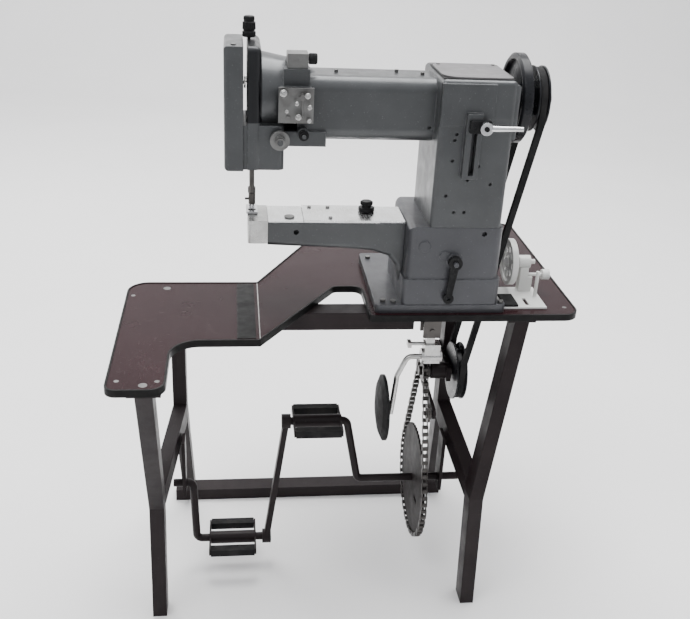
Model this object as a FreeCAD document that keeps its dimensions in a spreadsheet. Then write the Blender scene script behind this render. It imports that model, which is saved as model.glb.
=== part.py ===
import FreeCAD, Part
import math
import os
import re
import Sketcher

# A cylinder-arm sewing machine on a low pedal-driven stand.
# Frame: +X runs along the arm towards the handwheel, +Y away from the operator, +Z up.
# Sizes are millimetres measured from the floor point below the needle. Each finished part is then
# moved so that the origin is on the floor at the middle of the table.

doc = FreeCAD.newDocument("SewingMachine")
sheet = doc.addObject("Spreadsheet::Sheet", "Sizes")

SIZES = [
    # table
    ("table_top", 555), ("board_thick", 10), ("trim_thick", 3), ("trim_lip", 1),
    ("screw_sink", 3),
    ("seam_x", 8), ("shelf_left", -203), ("shelf_back", 43), ("shelf_front", -313),
    ("shelf_inner", -171), ("lobe_right", -122), ("plate_left", 183), ("plate_right", 530),
    ("plate_front", -91), ("plate_back", 342), ("neck_back_x", 160), ("notch_left", 137),
    ("notch_back", 24),
    # stand tubes
    ("tube_width", 24), ("tube_depth", 36), ("tube_wall", 2), ("knee_height", 230),
    ("foot_left", -158), ("foot_right", 379), ("floor_left", -161), ("floor_right", 386),
    ("foot_mid", -123), ("leg_top_left", -151),
    ("leg_top_left_mid", -290), ("leg_top_right", 434), ("leg_top_right_mid", -70),
    ("post_left", -128), ("post_right", 357), ("post_mid", 76), ("post_low", 292), ("rail_high", 526),
    ("bar_mid", 206), ("bar_high", 24), ("bar_left", -151), ("bar_right", 402),
    ("rear_left", -124), ("rear_right", 386), ("beam_left", -150), ("beam_right", 262),
    ("beam_front", -58), ("beam_depth", 36), ("beam_high", 30),
    # crank and pedals
    ("crank_height", 180), ("crank_throw", 126), ("rod_radius", 7), ("running_gap", 0.05),
    ("pedal_long", 86), ("pedal_deep", 94), ("pedal_gap", 3),
    ("pedal_left_x", -78), ("pedal_right_x", 72), ("lug_width", 16), ("lug_radius", 13),
    ("journal_left", -140), ("journal_right", 382), ("arm_low_x", 28), ("arm_high_x", 60),
    ("hanger_thick", 6),
    # chain drive
    ("chain_pitch", 12.7), ("ring_teeth", 52), ("cog_teeth", 12), ("idler_teeth", 10),
    ("chain_x", 298), ("ring_thick", 4), ("roller_radius", 3.9), ("tooth_gap", 0.5),
    ("counter_height", 405), ("counter_radius", 8), ("idler_rise", 351),
    # belt drive
    ("belt_radius", 44), ("belt_wide", 10), ("belt_deep", 8), ("belt_gap", 0.5),
    ("pulley_low_x", 357), ("pulley_high_x", 434), ("pulley_rim", 50), ("pulley_wide", 18),
    ("belt_lead", 32),
    # knee lifter
    ("knee_x", 288), ("knee_y", -66), ("knee_drop", 22), ("knee_rod_radius", 4.5), ("clamp_drop", 54),
    ("pad_radius", 56), ("pad_drop", 151), ("pad_x", 214),
    # machine: heights above the table top
    ("shaft_rise", 330), ("shaft_radius", 9), ("bed_thick", 14), ("base_rise", 145),
    ("arm_top_rise", 370), ("arm_high_rise", 363), ("arm_low_rise", 268),
    ("bed_left", 193), ("bed_right", 405),
    ("bed_front", -80), ("bed_back", 143), ("base_step_rise", 58),
    ("column_x", 269), ("column_wide", 113), ("column_front", -78), ("column_back", 64),
    ("bulge", 6), ("wall", 8), ("arm_half", 46), ("head_radius", 62), ("head_wide", 20),
    ("head_back", 56), ("head_top_rise", 405),
    ("head_left", -10), ("neck_x", 66), ("head_front", -58), ("head_low_rise", 227),
    ("cover_left", -44), ("cover_right", -16), ("cover_high", 178),
    # cylinder arm
    ("cyl_rise", 138), ("cyl_front", -44), ("cyl_back", 34), ("cyl_high", 38), ("tip_x", -9),
    ("cap_right", 22), ("plate_thick", 3), ("hook_y", -3), ("hook_drop", 19),
    ("hook_radius", 11), ("lower_shaft_radius", 4),
    # needle and presser bars
    ("needle_x", -2), ("needle_bar_radius", 3.6), ("presser_y", 16), ("presser_bar_radius", 4),
    # handwheel
    ("wheel_radius", 68), ("wheel_x", 394), ("wheel_wide", 18),
    # bobbin winder
    ("winder_radius", 39), ("winder_x", 431), ("winder_y", 10), ("winder_rise", 53),
    ("spindle_radius", 4),
    # levers and knobs
    ("stitch_x", 321), ("stitch_rise", 306), ("stitch_shift", 13), ("stitch_pin", 3.7), ("lever_x", 313),
    ("lever_rise", 89), ("knob_x", 181),
]
for row, (alias, number) in enumerate(SIZES, start=1):
    sheet.set("A%d" % row, alias)
    sheet.set("B%d" % row, str(number))
    sheet.setAlias("B%d" % row, alias)
doc.recompute()

ALIASES = sorted((alias for alias, number in SIZES), key=len, reverse=True)
ALIAS_PATTERN = re.compile(r"\b(" + "|".join(ALIASES) + r")\b")
NODES = []
X_AXIS = FreeCAD.Vector(1, 0, 0)
Y_AXIS = FreeCAD.Vector(0, 1, 0)
Z_AXIS = FreeCAD.Vector(0, 0, 1)
ALONG = {
    "x": FreeCAD.Rotation(Y_AXIS, 90),
    "y": FreeCAD.Rotation(X_AXIS, -90),
    "z": FreeCAD.Rotation(),
}


def size(alias):
    """Return one driving size from the sheet."""
    return float(sheet.get(alias))


def bound(text):
    """Write a formula of sheet names as a document expression."""
    return ALIAS_PATTERN.sub(r"Sizes.\1", str(text))


def vec(x, y, z):
    return FreeCAD.Vector(x, y, z)


def set_base(obj, corner):
    for axis, formula in zip("xyz", corner):
        obj.setExpression("Placement.Base." + axis, bound(formula))


def block(corner, extent, name="Block"):
    """A box whose corner and extent are bound to the sheet."""
    obj = doc.addObject("Part::Box", name)
    for prop, formula in zip(("Length", "Width", "Height"), extent):
        obj.setExpression(prop, bound(formula))
    set_base(obj, corner)
    return obj


def rod(axis, start, radius, length, name="Rod"):
    """A cylinder along an axis from its start point."""
    obj = doc.addObject("Part::Cylinder", name)
    obj.setExpression("Radius", bound(radius))
    obj.setExpression("Height", bound(length))
    obj.Placement = FreeCAD.Placement(vec(0, 0, 0), ALONG[axis])
    set_base(obj, start)
    return obj


def taper(axis, start, radius_one, radius_two, length, name="Taper"):
    """A cone along an axis."""
    obj = doc.addObject("Part::Cone", name)
    obj.setExpression("Radius1", bound(radius_one))
    obj.setExpression("Radius2", bound(radius_two))
    obj.setExpression("Height", bound(length))
    obj.Placement = FreeCAD.Placement(vec(0, 0, 0), ALONG[axis])
    set_base(obj, start)
    return obj


def join(parts, name="Join"):
    obj = doc.addObject("Part::MultiFuse", name)
    obj.Shapes = parts
    obj.Refine = True
    return obj


def cut(base, tools, name="Cut"):
    obj = doc.addObject("Part::Cut", name)
    obj.Base = base
    obj.Tool = tools[0] if len(tools) == 1 else join(tools, name + "Tools")
    obj.Refine = True
    return obj


def group(parts, name="Group"):
    """Several separate solids kept as one sub-part."""
    obj = doc.addObject("Part::Compound", name)
    obj.Links = parts
    return obj


def soften(base, radius, chooser, name="Soften"):
    """Round the edges of a feature that the chooser accepts."""
    doc.recompute()
    obj = doc.addObject("Part::Fillet", name)
    obj.Base = base
    edges = []
    for index, edge in enumerate(base.Shape.Edges, start=1):
        if edge.Curve.TypeId == "Part::GeomLine" and chooser(edge):
            edges.append((index, radius, radius))
    obj.Edges = edges
    doc.recompute()
    return obj


def runs_along(edge, axis):
    direction = edge.tangentAt(edge.FirstParameter)
    return abs(abs(direction.dot(axis)) - 1) < 1e-6


def solid_feature(shape, name):
    """A shape worked out from the sheet in code."""
    obj = doc.addObject("Part::Feature", name)
    obj.Shape = shape
    obj.Placement = FreeCAD.Placement(vec(0, 0, 0), FreeCAD.Rotation())
    return obj


def keep(obj, node):
    """Register a finished sub-part under its node name, moved to the shared origin."""
    placed = doc.addObject("Part::Compound", "Node_" + node)
    placed.Links = [obj]
    placed.Label = node
    placed.setExpression("Placement.Base.x", bound("-(shelf_left + plate_right) / 2"))
    placed.setExpression("Placement.Base.y", bound("-(shelf_front + plate_back) / 2"))
    NODES.append((node, placed))
    return obj


def rounded_edges(corners):
    """Lines and arcs of a closed outline from (x, y, corner radius) triples."""
    count = len(corners)
    stops = []
    for index in range(count):
        here = vec(corners[index][0], corners[index][1], 0)
        before = vec(corners[index - 1][0], corners[index - 1][1], 0)
        after = vec(corners[(index + 1) % count][0], corners[(index + 1) % count][1], 0)
        radius = corners[index][2]
        to_before = (before - here).normalize()
        to_after = (after - here).normalize()
        if radius <= 0:
            stops.append((here, None, here))
            continue
        half = to_before.getAngle(to_after) / 2
        reach = radius / math.tan(half)
        middle = (to_before + to_after).normalize()
        depth = radius / math.sin(half) - radius
        stops.append((here + to_before * reach, here + middle * depth, here + to_after * reach))
    edges = []
    for index in range(count):
        first, middle, last = stops[index]
        if middle is not None:
            edges.append(Part.Arc(first, middle, last))
        following = stops[(index + 1) % count][0]
        if (following - last).Length > 1e-6:
            edges.append(Part.LineSegment(last, following))
    return edges


def outline_face(corners, height=0):
    """The flat face inside a closed outline, at the given height."""
    lift = FreeCAD.Matrix()
    lift.move(vec(0, 0, height))
    wire = Part.Wire([edge.toShape() for edge in rounded_edges(corners)])
    return Part.Face(wire.transformed(lift, True))


def plate_body(node, corners, base, thick, turn="z", holes=()):
    """A flat piece cut from sheet or board: sketch, pad and pockets in one body."""
    body = doc.addObject("PartDesign::Body", "Body_" + node)
    sketch = body.newObject("Sketcher::SketchObject", "Outline_" + node)
    plane = None
    for feature in body.Origin.OriginFeatures:
        if feature.Role == "XY_Plane":
            plane = feature
    sketch.AttachmentSupport = [(plane, "")]
    sketch.MapMode = "FlatFace"
    for edge in rounded_edges(corners):
        sketch.addGeometry(edge, False)
    for x, y, radius in holes:
        sketch.addGeometry(Part.Circle(vec(x, y, 0), Z_AXIS, radius), False)
    doc.recompute()
    pad = body.newObject("PartDesign::Pad", "Pad_" + node)
    pad.Profile = sketch
    pad.setExpression("Length", bound(thick))
    body.Tip = pad
    doc.recompute()
    body.Placement = FreeCAD.Placement(vec(0, 0, 0), STAND_UP[turn])
    set_base(body, base)
    return body


# How a flat body is turned: lying down, facing the operator, or facing along the arm.
STAND_UP = {
    "z": FreeCAD.Rotation(),
    "y": FreeCAD.Rotation(X_AXIS, 90),
    "x": FreeCAD.Rotation(vec(1, 1, 1), 120),
}


def rectangle(centre, wide, deep, normal):
    """A rectangle around a centre, level or facing along Y."""
    cx, cy, cz = centre
    points = []
    for sx, sd in ((-1, -1), (1, -1), (1, 1), (-1, 1)):
        if normal == "z":
            points.append(vec(cx + sx * wide / 2, cy + sd * deep / 2, cz))
        else:
            points.append(vec(cx + sx * wide / 2, cy, cz + sd * deep / 2))
    return Part.makePolygon(points + points[:1])


def slanted_tube(start, end, wide, deep, wall, normal="z"):
    """A rectangular tube between two parallel cut ends."""
    outer = Part.makeLoft([rectangle(start, wide, deep, normal), rectangle(end, wide, deep, normal)],
                          True, True)
    inner = Part.makeLoft([rectangle(start, wide - 2 * wall, deep - 2 * wall, normal),
                           rectangle(end, wide - 2 * wall, deep - 2 * wall, normal)], True, True)
    return outer.cut(inner)


def bent_path(points, bend):
    """Straight runs joined by arcs that touch both."""
    places = [vec(*point) for point in points]
    edges = []
    last = places[0]
    for index in range(1, len(places) - 1):
        here = places[index]
        back = (places[index - 1] - here).normalize()
        ahead = (places[index + 1] - here).normalize()
        half = back.getAngle(ahead) / 2
        reach = bend / math.tan(half)
        middle = here + (back + ahead).normalize() * (bend / math.sin(half) - bend)
        edges.append(Part.LineSegment(last, here + back * reach).toShape())
        edges.append(Part.Arc(here + back * reach, middle, here + ahead * reach).toShape())
        last = here + ahead * reach
    edges.append(Part.LineSegment(last, places[-1]).toShape())
    return Part.Wire(edges)


def bent_bar(points, radius, bend):
    """A round bar bent along a path."""
    path = bent_path(points, bend)
    first = vec(*points[0])
    heading = (vec(*points[1]) - first).normalize()
    profile = Part.Wire([Part.makeCircle(radius, first, heading)])
    return path.makePipeShell([profile], True, False)


def spun(profile, centre):
    """Revolve (x, radius) corners about an axis along X through the centre (y, z)."""
    points = [vec(x, centre[0], centre[1] + radius) for x, radius in profile]
    face = Part.Face(Part.makePolygon(points + points[:1]))
    return face.revolve(vec(0, centre[0], centre[1]), X_AXIS, 360)


def x_cylinder(x, y, z, radius, length):
    return Part.makeCylinder(radius, length, vec(x, y, z), X_AXIS)


top = size("table_top")
under = top - size("board_thick")

# ---------------------------------------------------------------- table
seam = size("seam_x")
trim = size("trim_thick")
MAIN_OUTLINE = [
    (seam, size("shelf_inner"), 0),
    (size("notch_left"), size("notch_back"), 14),
    (size("plate_left") - 1, size("notch_back"), 16),
    (size("plate_left"), size("plate_front"), 6),
    (size("plate_right"), size("plate_front"), 26),
    (size("plate_right"), size("plate_back"), 26),
    (size("neck_back_x"), size("plate_back"), 40),
    (seam, size("shelf_back"), 0),
]
SHELF_OUTLINE = [
    (seam, size("shelf_back"), 0),
    (size("shelf_left"), size("shelf_back"), 34),
    (size("shelf_left"), size("shelf_front"), 16),
    (size("lobe_right"), size("shelf_front"), 22),
    (size("lobe_right"), size("shelf_inner"), 42),
    (seam, size("shelf_inner"), 0),
]


def inset(corners, distance, seam_sides):
    """Move an outline inwards, except along the seam."""
    count = len(corners)
    area = 0.0
    for index in range(count):
        x1, y1, _ = corners[index]
        x2, y2, _ = corners[(index + 1) % count]
        area += x1 * y2 - x2 * y1
    turn = 1 if area > 0 else -1
    lines = []
    for index in range(count):
        x1, y1, _ = corners[index]
        x2, y2, _ = corners[(index + 1) % count]
        length = math.hypot(x2 - x1, y2 - y1)
        nx = -(y2 - y1) / length * turn
        ny = (x2 - x1) / length * turn
        shift = 0.0 if index in seam_sides else distance
        lines.append((x1 + nx * shift, y1 + ny * shift, x2 - x1, y2 - y1))
    result = []
    for index in range(count):
        ax, ay, adx, ady = lines[index - 1]
        bx, by, bdx, bdy = lines[index]
        cross = adx * bdy - ady * bdx
        along = ((bx - ax) * bdy - (by - ay) * bdx) / cross
        px, py, radius = corners[index]
        qx, qy, _ = corners[index - 1]
        sx, sy, _ = corners[(index + 1) % count]
        bend = (px - qx) * (sy - py) - (py - qy) * (sx - px)
        grow = -distance if bend * turn > 0 else distance
        rounded = radius + grow if radius > 0 else 0
        result.append((ax + adx * along, ay + ady * along, max(rounded, 0)))
    return result


main_inner = inset(MAIN_OUTLINE, trim, (7,))
shelf_inner_outline = inset(SHELF_OUTLINE, trim, (5,))
main_board = plate_body("main", main_inner, (0, 0, "table_top - board_thick"), "board_thick")
belt_slot_left = 366
belt_slot_half = 58
board_slot = block((belt_slot_left, -belt_slot_half, "table_top - board_thick - 1"),
                   (36, 2 * belt_slot_half, "board_thick + 2"), "BoardSlot")
MAIN_SCREWS = [(512, -60, 3.5), (512, 310, 3.5), (230, 310, 3.5)]
SHELF_SCREWS = [(-140, 20, 6), (-152, -298, 6), (-192, -8, 3.5), (-188, -286, 3.5), (-134, -288, 3.5)]


def screw_heads(places, prefix):
    """Flat heads let in level with the table top."""
    return [rod("z", (x, y, "table_top - screw_sink"), radius, "screw_sink", "%s%d" % (prefix, index))
            for index, (x, y, radius) in enumerate(places)]


keep(cut(main_board, [board_slot] + screw_heads(MAIN_SCREWS, "MainPocket"), "TableMain"), "table_main")
shelf_board = plate_body("shelf", shelf_inner_outline, (0, 0, "table_top - board_thick"), "board_thick")
keep(cut(shelf_board, screw_heads(SHELF_SCREWS, "ShelfPocket"), "TableShelf"), "table_shelf")


def trim_ring(outline, inner):
    low = under
    high = top + size("trim_lip")
    ring = outline_face(outline, low).extrude(vec(0, 0, high - low))
    hole = outline_face(inner, low).extrude(vec(0, 0, high - low))
    return ring.cut(hole)


trims = [solid_feature(trim_ring(MAIN_OUTLINE, main_inner), "TrimMain"),
         solid_feature(trim_ring(SHELF_OUTLINE, shelf_inner_outline), "TrimShelf")]
keep(group(trims, "EdgeTrim"), "edge_trim")

# ---------------------------------------------------------------- stand
wide = size("tube_width")
deep = size("tube_depth")
wall = size("tube_wall")
knee = size("knee_height")
post_low = size("post_low")
leg_top = under - 4


def front_leg(floor_x, foot_x, top_x, top_mid):
    """A slanted upper tube welded on a straight foot, with a plate under the table."""
    foot_mid = size("foot_mid")
    lower = slanted_tube((floor_x, foot_mid, 0), (foot_x, foot_mid, knee), wide, deep, wall)
    upper = slanted_tube((foot_x, foot_mid, knee), (top_x, top_mid, leg_top), wide, deep, wall)
    pad = Part.makeBox(wide + 22, deep + 14, 4,
                       vec(top_x - wide / 2 - 11, top_mid - deep / 2, leg_top))
    return lower.fuse(upper).fuse(pad).removeSplitter()


def rear_leg(post_x, foot_x, post_top):
    """An upright post with the back leg carried on below it, closed by a top plate."""
    post_mid = size("post_mid")
    upper = slanted_tube((post_x, post_mid, post_low), (post_x, post_mid, post_top), wide, deep, wall)
    lower = slanted_tube((foot_x, size("bar_mid"), size("bar_high")), (post_x, post_mid, post_low),
                         wide, deep, wall)
    pad = Part.makeBox(wide + 2, deep + 2, 4,
                       vec(post_x - wide / 2 - 1, post_mid - deep / 2 - 1, post_top))
    return upper.fuse(lower).fuse(pad).removeSplitter()


def brace(foot_x, post_x):
    """The tube that ties the knee of the front leg to the upright post."""
    front = size("foot_mid") + deep / 2
    back = size("post_mid") - deep / 2
    return slanted_tube((foot_x, front, knee + 2), (post_x, back, post_low - 2), wide, deep, wall, "y")


keep(solid_feature(front_leg(size("floor_left"), size("foot_left"), size("leg_top_left"),
                             size("leg_top_left_mid")), "FrontLegLeft"), "front_leg_left")
keep(solid_feature(front_leg(size("floor_right"), size("foot_right"), size("leg_top_right"),
                             size("leg_top_right_mid")), "FrontLegRight"), "front_leg_right")


def short_rear_leg():
    """The left post stops below the shelf and is tied to the upper beam by a short rail."""
    rail_high = size("rail_high")
    post_left = size("post_left")
    front = size("beam_front") + size("beam_depth")
    back = size("post_mid") - deep / 2
    post = rear_leg(post_left, size("rear_left"), rail_high)
    rail = Part.makeBox(wide, back - front, wide, vec(post_left - wide / 2, front, rail_high - wide))
    room = Part.makeBox(wide - 2 * wall, back - front + 2, wide - 2 * wall,
                        vec(post_left - wide / 2 + wall, front - 1, rail_high - wide + wall))
    return post.fuse(rail.cut(room)).removeSplitter()


keep(solid_feature(short_rear_leg(), "RearLegLeft"), "rear_leg_left")
keep(solid_feature(rear_leg(size("post_right"), size("rear_right"), leg_top), "RearLegRight"),
     "rear_leg_right")
braces = [solid_feature(brace(size("foot_left"), size("post_left")), "BraceLeft"),
          solid_feature(brace(size("foot_right"), size("post_right")), "BraceRight")]
keep(group(braces, "SideBraces"), "side_braces")
beam_outer = block(("beam_left", "beam_front", "table_top - board_thick - beam_high"),
                   ("beam_right - beam_left", "beam_depth", "beam_high"), "BeamOuter")
beam_inner = block(("beam_left - 1", "beam_front + tube_wall",
                    "table_top - board_thick - beam_high + tube_wall"),
                   ("beam_right - beam_left + 2", "beam_depth - 2 * tube_wall",
                    "beam_high - 2 * tube_wall"), "BeamInner")
keep(cut(beam_outer, [beam_inner], "UpperBeam"), "upper_beam")
bar_outer = block(("bar_left", "bar_mid - tube_depth / 2", 0),
                  ("bar_right - bar_left", "tube_depth", "bar_high"), "BarOuter")
bar_inner = block(("bar_left - 1", "bar_mid - tube_depth / 2 + tube_wall", "tube_wall"),
                  ("bar_right - bar_left + 2", "tube_depth - 2 * tube_wall",
                   "bar_high - 2 * tube_wall"), "BarInner")
keep(cut(bar_outer, [bar_inner], "RearCrossbar"), "rear_crossbar")

# ---------------------------------------------------------------- crank and pedals
axle = size("crank_height")
throw = size("crank_throw")
rod_r = size("rod_radius")


def brace_x(foot_x, post_x):
    """Centre of a side brace where it passes over the crank axle."""
    front = size("foot_mid") + deep / 2
    back = size("post_mid") - deep / 2
    share = (0 - front) / (back - front)
    return foot_x + (post_x - foot_x) * share


hanger = size("hanger_thick")
hanger_left = brace_x(size("foot_left"), size("post_left")) + wide / 2 + 3.6
hanger_right = brace_x(size("foot_right"), size("post_right")) - wide / 2 - 3.6 - hanger


def hanger_plate(x, name):
    plate = block((x, -17, "crank_height - 20"), ("hanger_thick", 34, "knee_height - crank_height + 64"),
                  name)
    bore = rod("x", (x - 1, 0, "crank_height"), "rod_radius + running_gap", "hanger_thick + 2",
               name + "Bore")
    return cut(plate, [bore], name + "Bored")


hangers = [hanger_plate(hanger_left, "HangerLeft"), hanger_plate(hanger_right, "HangerRight")]
keep(group(hangers, "CrankHangers"), "crank_hangers")

lug = size("lug_width")
low_end = size("arm_low_x") + lug / 2
high_end = size("arm_high_x") - lug / 2
left_web = size("pedal_left_x") - 23
right_web = size("pedal_right_x") + size("pedal_long") + 10
left_rod = bent_bar([(size("journal_left"), 0, axle), (left_web - 4, 0, axle),
                     (left_web, 0, axle - throw), (low_end, 0, axle - throw)], rod_r, 11)
right_rod = bent_bar([(high_end, 0, axle + throw), (right_web, 0, axle + throw),
                      (right_web + 25, 0, axle), (size("journal_right"), 0, axle)], rod_r, 11)
rods = [solid_feature(left_rod, "RodLeft"), solid_feature(right_rod, "RodRight")]
keep(group(rods, "CrankRods"), "crank_rods")


def crank_middle():
    """The flat arm that joins the two rods, with a bored lug at each end."""
    low = size("arm_low_x")
    high = size("arm_high_x")
    lug_r = size("lug_radius")
    lugs = [x_cylinder(low - lug / 2, 0, axle - throw, lug_r, lug),
            x_cylinder(high - lug / 2, 0, axle + throw, lug_r, lug)]
    bar = Part.makeLoft([rectangle((low, 0, axle - throw), 10, 18, "z"),
                         rectangle((high, 0, axle + throw), 10, 18, "z")], True, True)
    whole = bar.fuse(lugs[0]).fuse(lugs[1])
    bores = x_cylinder(low - lug, 0, axle - throw, rod_r, 2 * lug)
    bores = bores.fuse(x_cylinder(high - lug, 0, axle + throw, rod_r, 2 * lug))
    return whole.cut(bores).removeSplitter()


keep(solid_feature(crank_middle(), "CrankArm"), "crank_arm")


def pedal(side, x_name, pin):
    """A pedal: a sleeve with two end plates, and two rubber treads between them."""
    height = "crank_height %s crank_throw" % pin
    sleeve = rod("x", (x_name, 0, height), "rod_radius + 4.5", "pedal_long", side + "Sleeve")
    bore = rod("x", (x_name + " - 1", 0, height), "rod_radius + running_gap", "pedal_long + 2",
               side + "SleeveBore")
    ends = []
    for index, shift in enumerate(("", " + pedal_long - 3")):
        ends.append(block((x_name + shift, "-pedal_deep / 2 + 3", height + " - 6"),
                          (3, "pedal_deep - 6", 12), "%sEnd%d" % (side, index)))
    spindles = []
    for sign in ("-", ""):
        spindles.append(rod("x", (x_name, sign + "(pedal_deep / 2 - 8)", height), 2.5, "pedal_long",
                            side + "Spindle"))
    cage = cut(join([sleeve] + ends + spindles, side + "Cage"), [bore], side + "CageBored")
    treads = []
    for index, start in enumerate(("-pedal_deep / 2", "pedal_deep / 2 - 16")):
        tread = block((x_name + " + 3.2", start, height + " - 6.5"), ("pedal_long - 6.4", 16, 13),
                      "%sTread%d" % (side, index))
        hole = rod("x", (x_name, start + " + 8", height), 2.5, "pedal_long",
                   "%sTreadHole%d" % (side, index))
        treads.append(cut(tread, [hole], "%sTreadBored%d" % (side, index)))
    return cage, group(treads, side + "Treads")


for side, x_name, pin in (("left", "pedal_left_x", "-"), ("right", "pedal_right_x", "+")):
    cage, treads = pedal("Pedal" + side.title(), x_name, pin)
    keep(cage, "pedal_%s_cage" % side)
    keep(treads, "pedal_%s_treads" % side)

# ---------------------------------------------------------------- chain drive
pitch = size("chain_pitch")
chain_x = size("chain_x")
counter = size("counter_height")
roller = size("roller_radius")


def pitch_radius(teeth):
    return pitch / (2 * math.sin(math.pi / teeth))


ring_r = pitch_radius(size("ring_teeth"))
cog_r = pitch_radius(size("cog_teeth"))
idler_r = pitch_radius(size("idler_teeth"))


def toothed_disc(teeth, radius, thick, centre):
    """A sprocket plate whose teeth end just under the chain rollers."""
    tip = radius - roller - size("tooth_gap")
    root = tip - 2.2
    points = []
    for index in range(int(teeth) * 4):
        angle = 2 * math.pi * index / (teeth * 4)
        reach = tip if index % 4 in (0, 1) else root
        points.append(vec(chain_x - thick / 2, centre[0] + reach * math.cos(angle),
                          centre[1] + reach * math.sin(angle)))
    return Part.Face(Part.makePolygon(points + points[:1])).extrude(vec(thick, 0, 0))


ring_thick = size("ring_thick")
ring = toothed_disc(size("ring_teeth"), ring_r, ring_thick, (0, axle))
ring = ring.fuse(x_cylinder(chain_x, 0, axle, 24, 11))
ring = ring.cut(x_cylinder(chain_x - 20, 0, axle, rod_r, 60))
ring = ring.cut(Part.makeBox(20, 22, 9, vec(chain_x - 10, -52, axle - 26)))
keep(solid_feature(ring, "Chainring"), "chainring")

counter_r = size("counter_radius")
cog = toothed_disc(size("cog_teeth"), cog_r, ring_thick, (0, counter))
cog = cog.fuse(x_cylinder(chain_x, 0, counter, 13, 10)).cut(x_cylinder(chain_x - 20, 0, counter,
                                                                      counter_r, 60))
keep(solid_feature(cog, "SmallSprocket"), "small_sprocket")

slope = math.asin((ring_r - cog_r) / (counter - axle))
ring_touch = (-ring_r * math.cos(slope), axle + ring_r * math.sin(slope))
cog_touch = (-cog_r * math.cos(slope), counter + cog_r * math.sin(slope))
share = (size("idler_rise") - ring_touch[1]) / (cog_touch[1] - ring_touch[1])
idler_point = (ring_touch[0] + (cog_touch[0] - ring_touch[0]) * share, size("idler_rise"))
idler_centre = (idler_point[0] - idler_r * math.cos(slope), idler_point[1] + idler_r * math.sin(slope))
idler = toothed_disc(size("idler_teeth"), idler_r, ring_thick, idler_centre)
idler = idler.fuse(x_cylinder(chain_x - 4, idler_centre[0], idler_centre[1], 9, 9))
idler = idler.cut(x_cylinder(chain_x - 20, idler_centre[0], idler_centre[1],
                             4 + size("running_gap"), 60))
keep(solid_feature(idler, "IdlerSprocket"), "idler_sprocket")


def chain_point(distance, lengths):
    """A point on the chain's pitch line, measured from the front touch point of the ring."""
    run, over_cog, back_run, under_ring = lengths
    if distance < run:
        part = distance / run
        return (ring_touch[0] + (cog_touch[0] - ring_touch[0]) * part,
                ring_touch[1] + (cog_touch[1] - ring_touch[1]) * part)
    distance -= run
    if distance < over_cog:
        angle = math.pi - slope - distance / cog_r
        return cog_r * math.cos(angle), counter + cog_r * math.sin(angle)
    distance -= over_cog
    if distance < back_run:
        part = distance / back_run
        return (-cog_touch[0] + (-ring_touch[0] + cog_touch[0]) * part,
                cog_touch[1] + (ring_touch[1] - cog_touch[1]) * part)
    distance -= back_run
    angle = slope - distance / ring_r
    return ring_r * math.cos(angle), axle + ring_r * math.sin(angle)


def chain_links():
    """Roller chain laid round both sprockets: two plates and a roller in each pitch."""
    run = math.hypot(cog_touch[0] - ring_touch[0], cog_touch[1] - ring_touch[1])
    lengths = (run, (math.pi - 2 * slope) * cog_r, run, (math.pi + 2 * slope) * ring_r)
    total = sum(lengths)
    count = 2 * int(round(total / pitch / 2))
    places = [chain_point(total * index / count, lengths) for index in range(count)]
    solids = []
    for index, (y, z) in enumerate(places):
        ny, nz = places[(index + 1) % count]
        length = math.hypot(ny - y, nz - z)
        reach = length / 2 + 3.4
        high = 3.4
        face = outline_face([(-reach, -high, high * 0.98), (reach, -high, high * 0.98),
                             (reach, high, high * 0.98), (-reach, high, high * 0.98)])
        offset = 3.1 if index % 2 else 4.2
        for side in (-1, 1):
            plate = face.extrude(vec(0, 0, 0.95))
            shift = offset if side > 0 else -offset - 0.95
            plate.translate(vec(0, 0, shift))
            plate.rotate(vec(0, 0, 0), vec(1, 1, 1), 120)
            plate.rotate(vec(0, 0, 0), X_AXIS, math.degrees(math.atan2(nz - z, ny - y)))
            plate.translate(vec(chain_x, (y + ny) / 2, (z + nz) / 2))
            solids.append(plate)
        solids.append(x_cylinder(chain_x - 3, y, z, roller - 0.2, 6))
    return Part.makeCompound(solids)


keep(solid_feature(chain_links(), "DriveChain"), "drive_chain")

post_face = size("post_right") - wide / 2
counter_arm = block((post_face - 8, -16, "counter_height - 13"), (8, "post_mid + 32", 26), "CounterArm")
counter_boss = rod("x", (chain_x + 13, 0, "counter_height"), 14, post_face - chain_x - 13,
                   "CounterBoss")
counter_bore = rod("x", (chain_x, 0, "counter_height"), "counter_radius + running_gap", 80,
                   "CounterBore")
counter_bracket = cut(join([counter_arm, counter_boss], "CounterJoin"), [counter_bore],
                      "CounterBracket")


def idler_arm():
    """A flat arm from the upright post to the idler pin."""
    cy, cz = idler_centre
    post_mid = size("post_mid")
    arm = Part.makeBox(5, math.hypot(post_mid - cy, 18) + 9, 20, vec(0, 0, -10))
    arm.rotate(vec(0, 0, 0), X_AXIS, math.degrees(math.atan2(18, post_mid - cy)))
    arm.translate(vec(chain_x + 7, cy, cz))
    eye = x_cylinder(chain_x + 7, cy, cz, 10, 5)
    pin = x_cylinder(chain_x - 7, cy, cz, 4, 17)
    spacer = Part.makeBox(post_face - chain_x - 7, 26, 20, vec(chain_x + 7, post_mid - 13, cz + 8))
    return arm.fuse(eye).fuse(pin).fuse(spacer).removeSplitter()


keep(group([counter_bracket, solid_feature(idler_arm(), "IdlerArm")], "DriveBrackets"),
     "drive_brackets")

low_x = size("pulley_low_x")
high_x = size("pulley_high_x")
pulley_wide = size("pulley_wide")
keep(rod("x", (chain_x - 8, 0, "counter_height"), "counter_radius",
         low_x + pulley_wide / 2 + 6 - chain_x + 8, "Countershaft"), "countershaft")

# ---------------------------------------------------------------- belt drive
belt_r = size("belt_radius")
belt_wide = size("belt_wide")
belt_deep = size("belt_deep")
rim = size("pulley_rim")
groove = belt_r - belt_deep / 2 - size("belt_gap")
half_groove = belt_wide / 2 + size("belt_gap")


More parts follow.
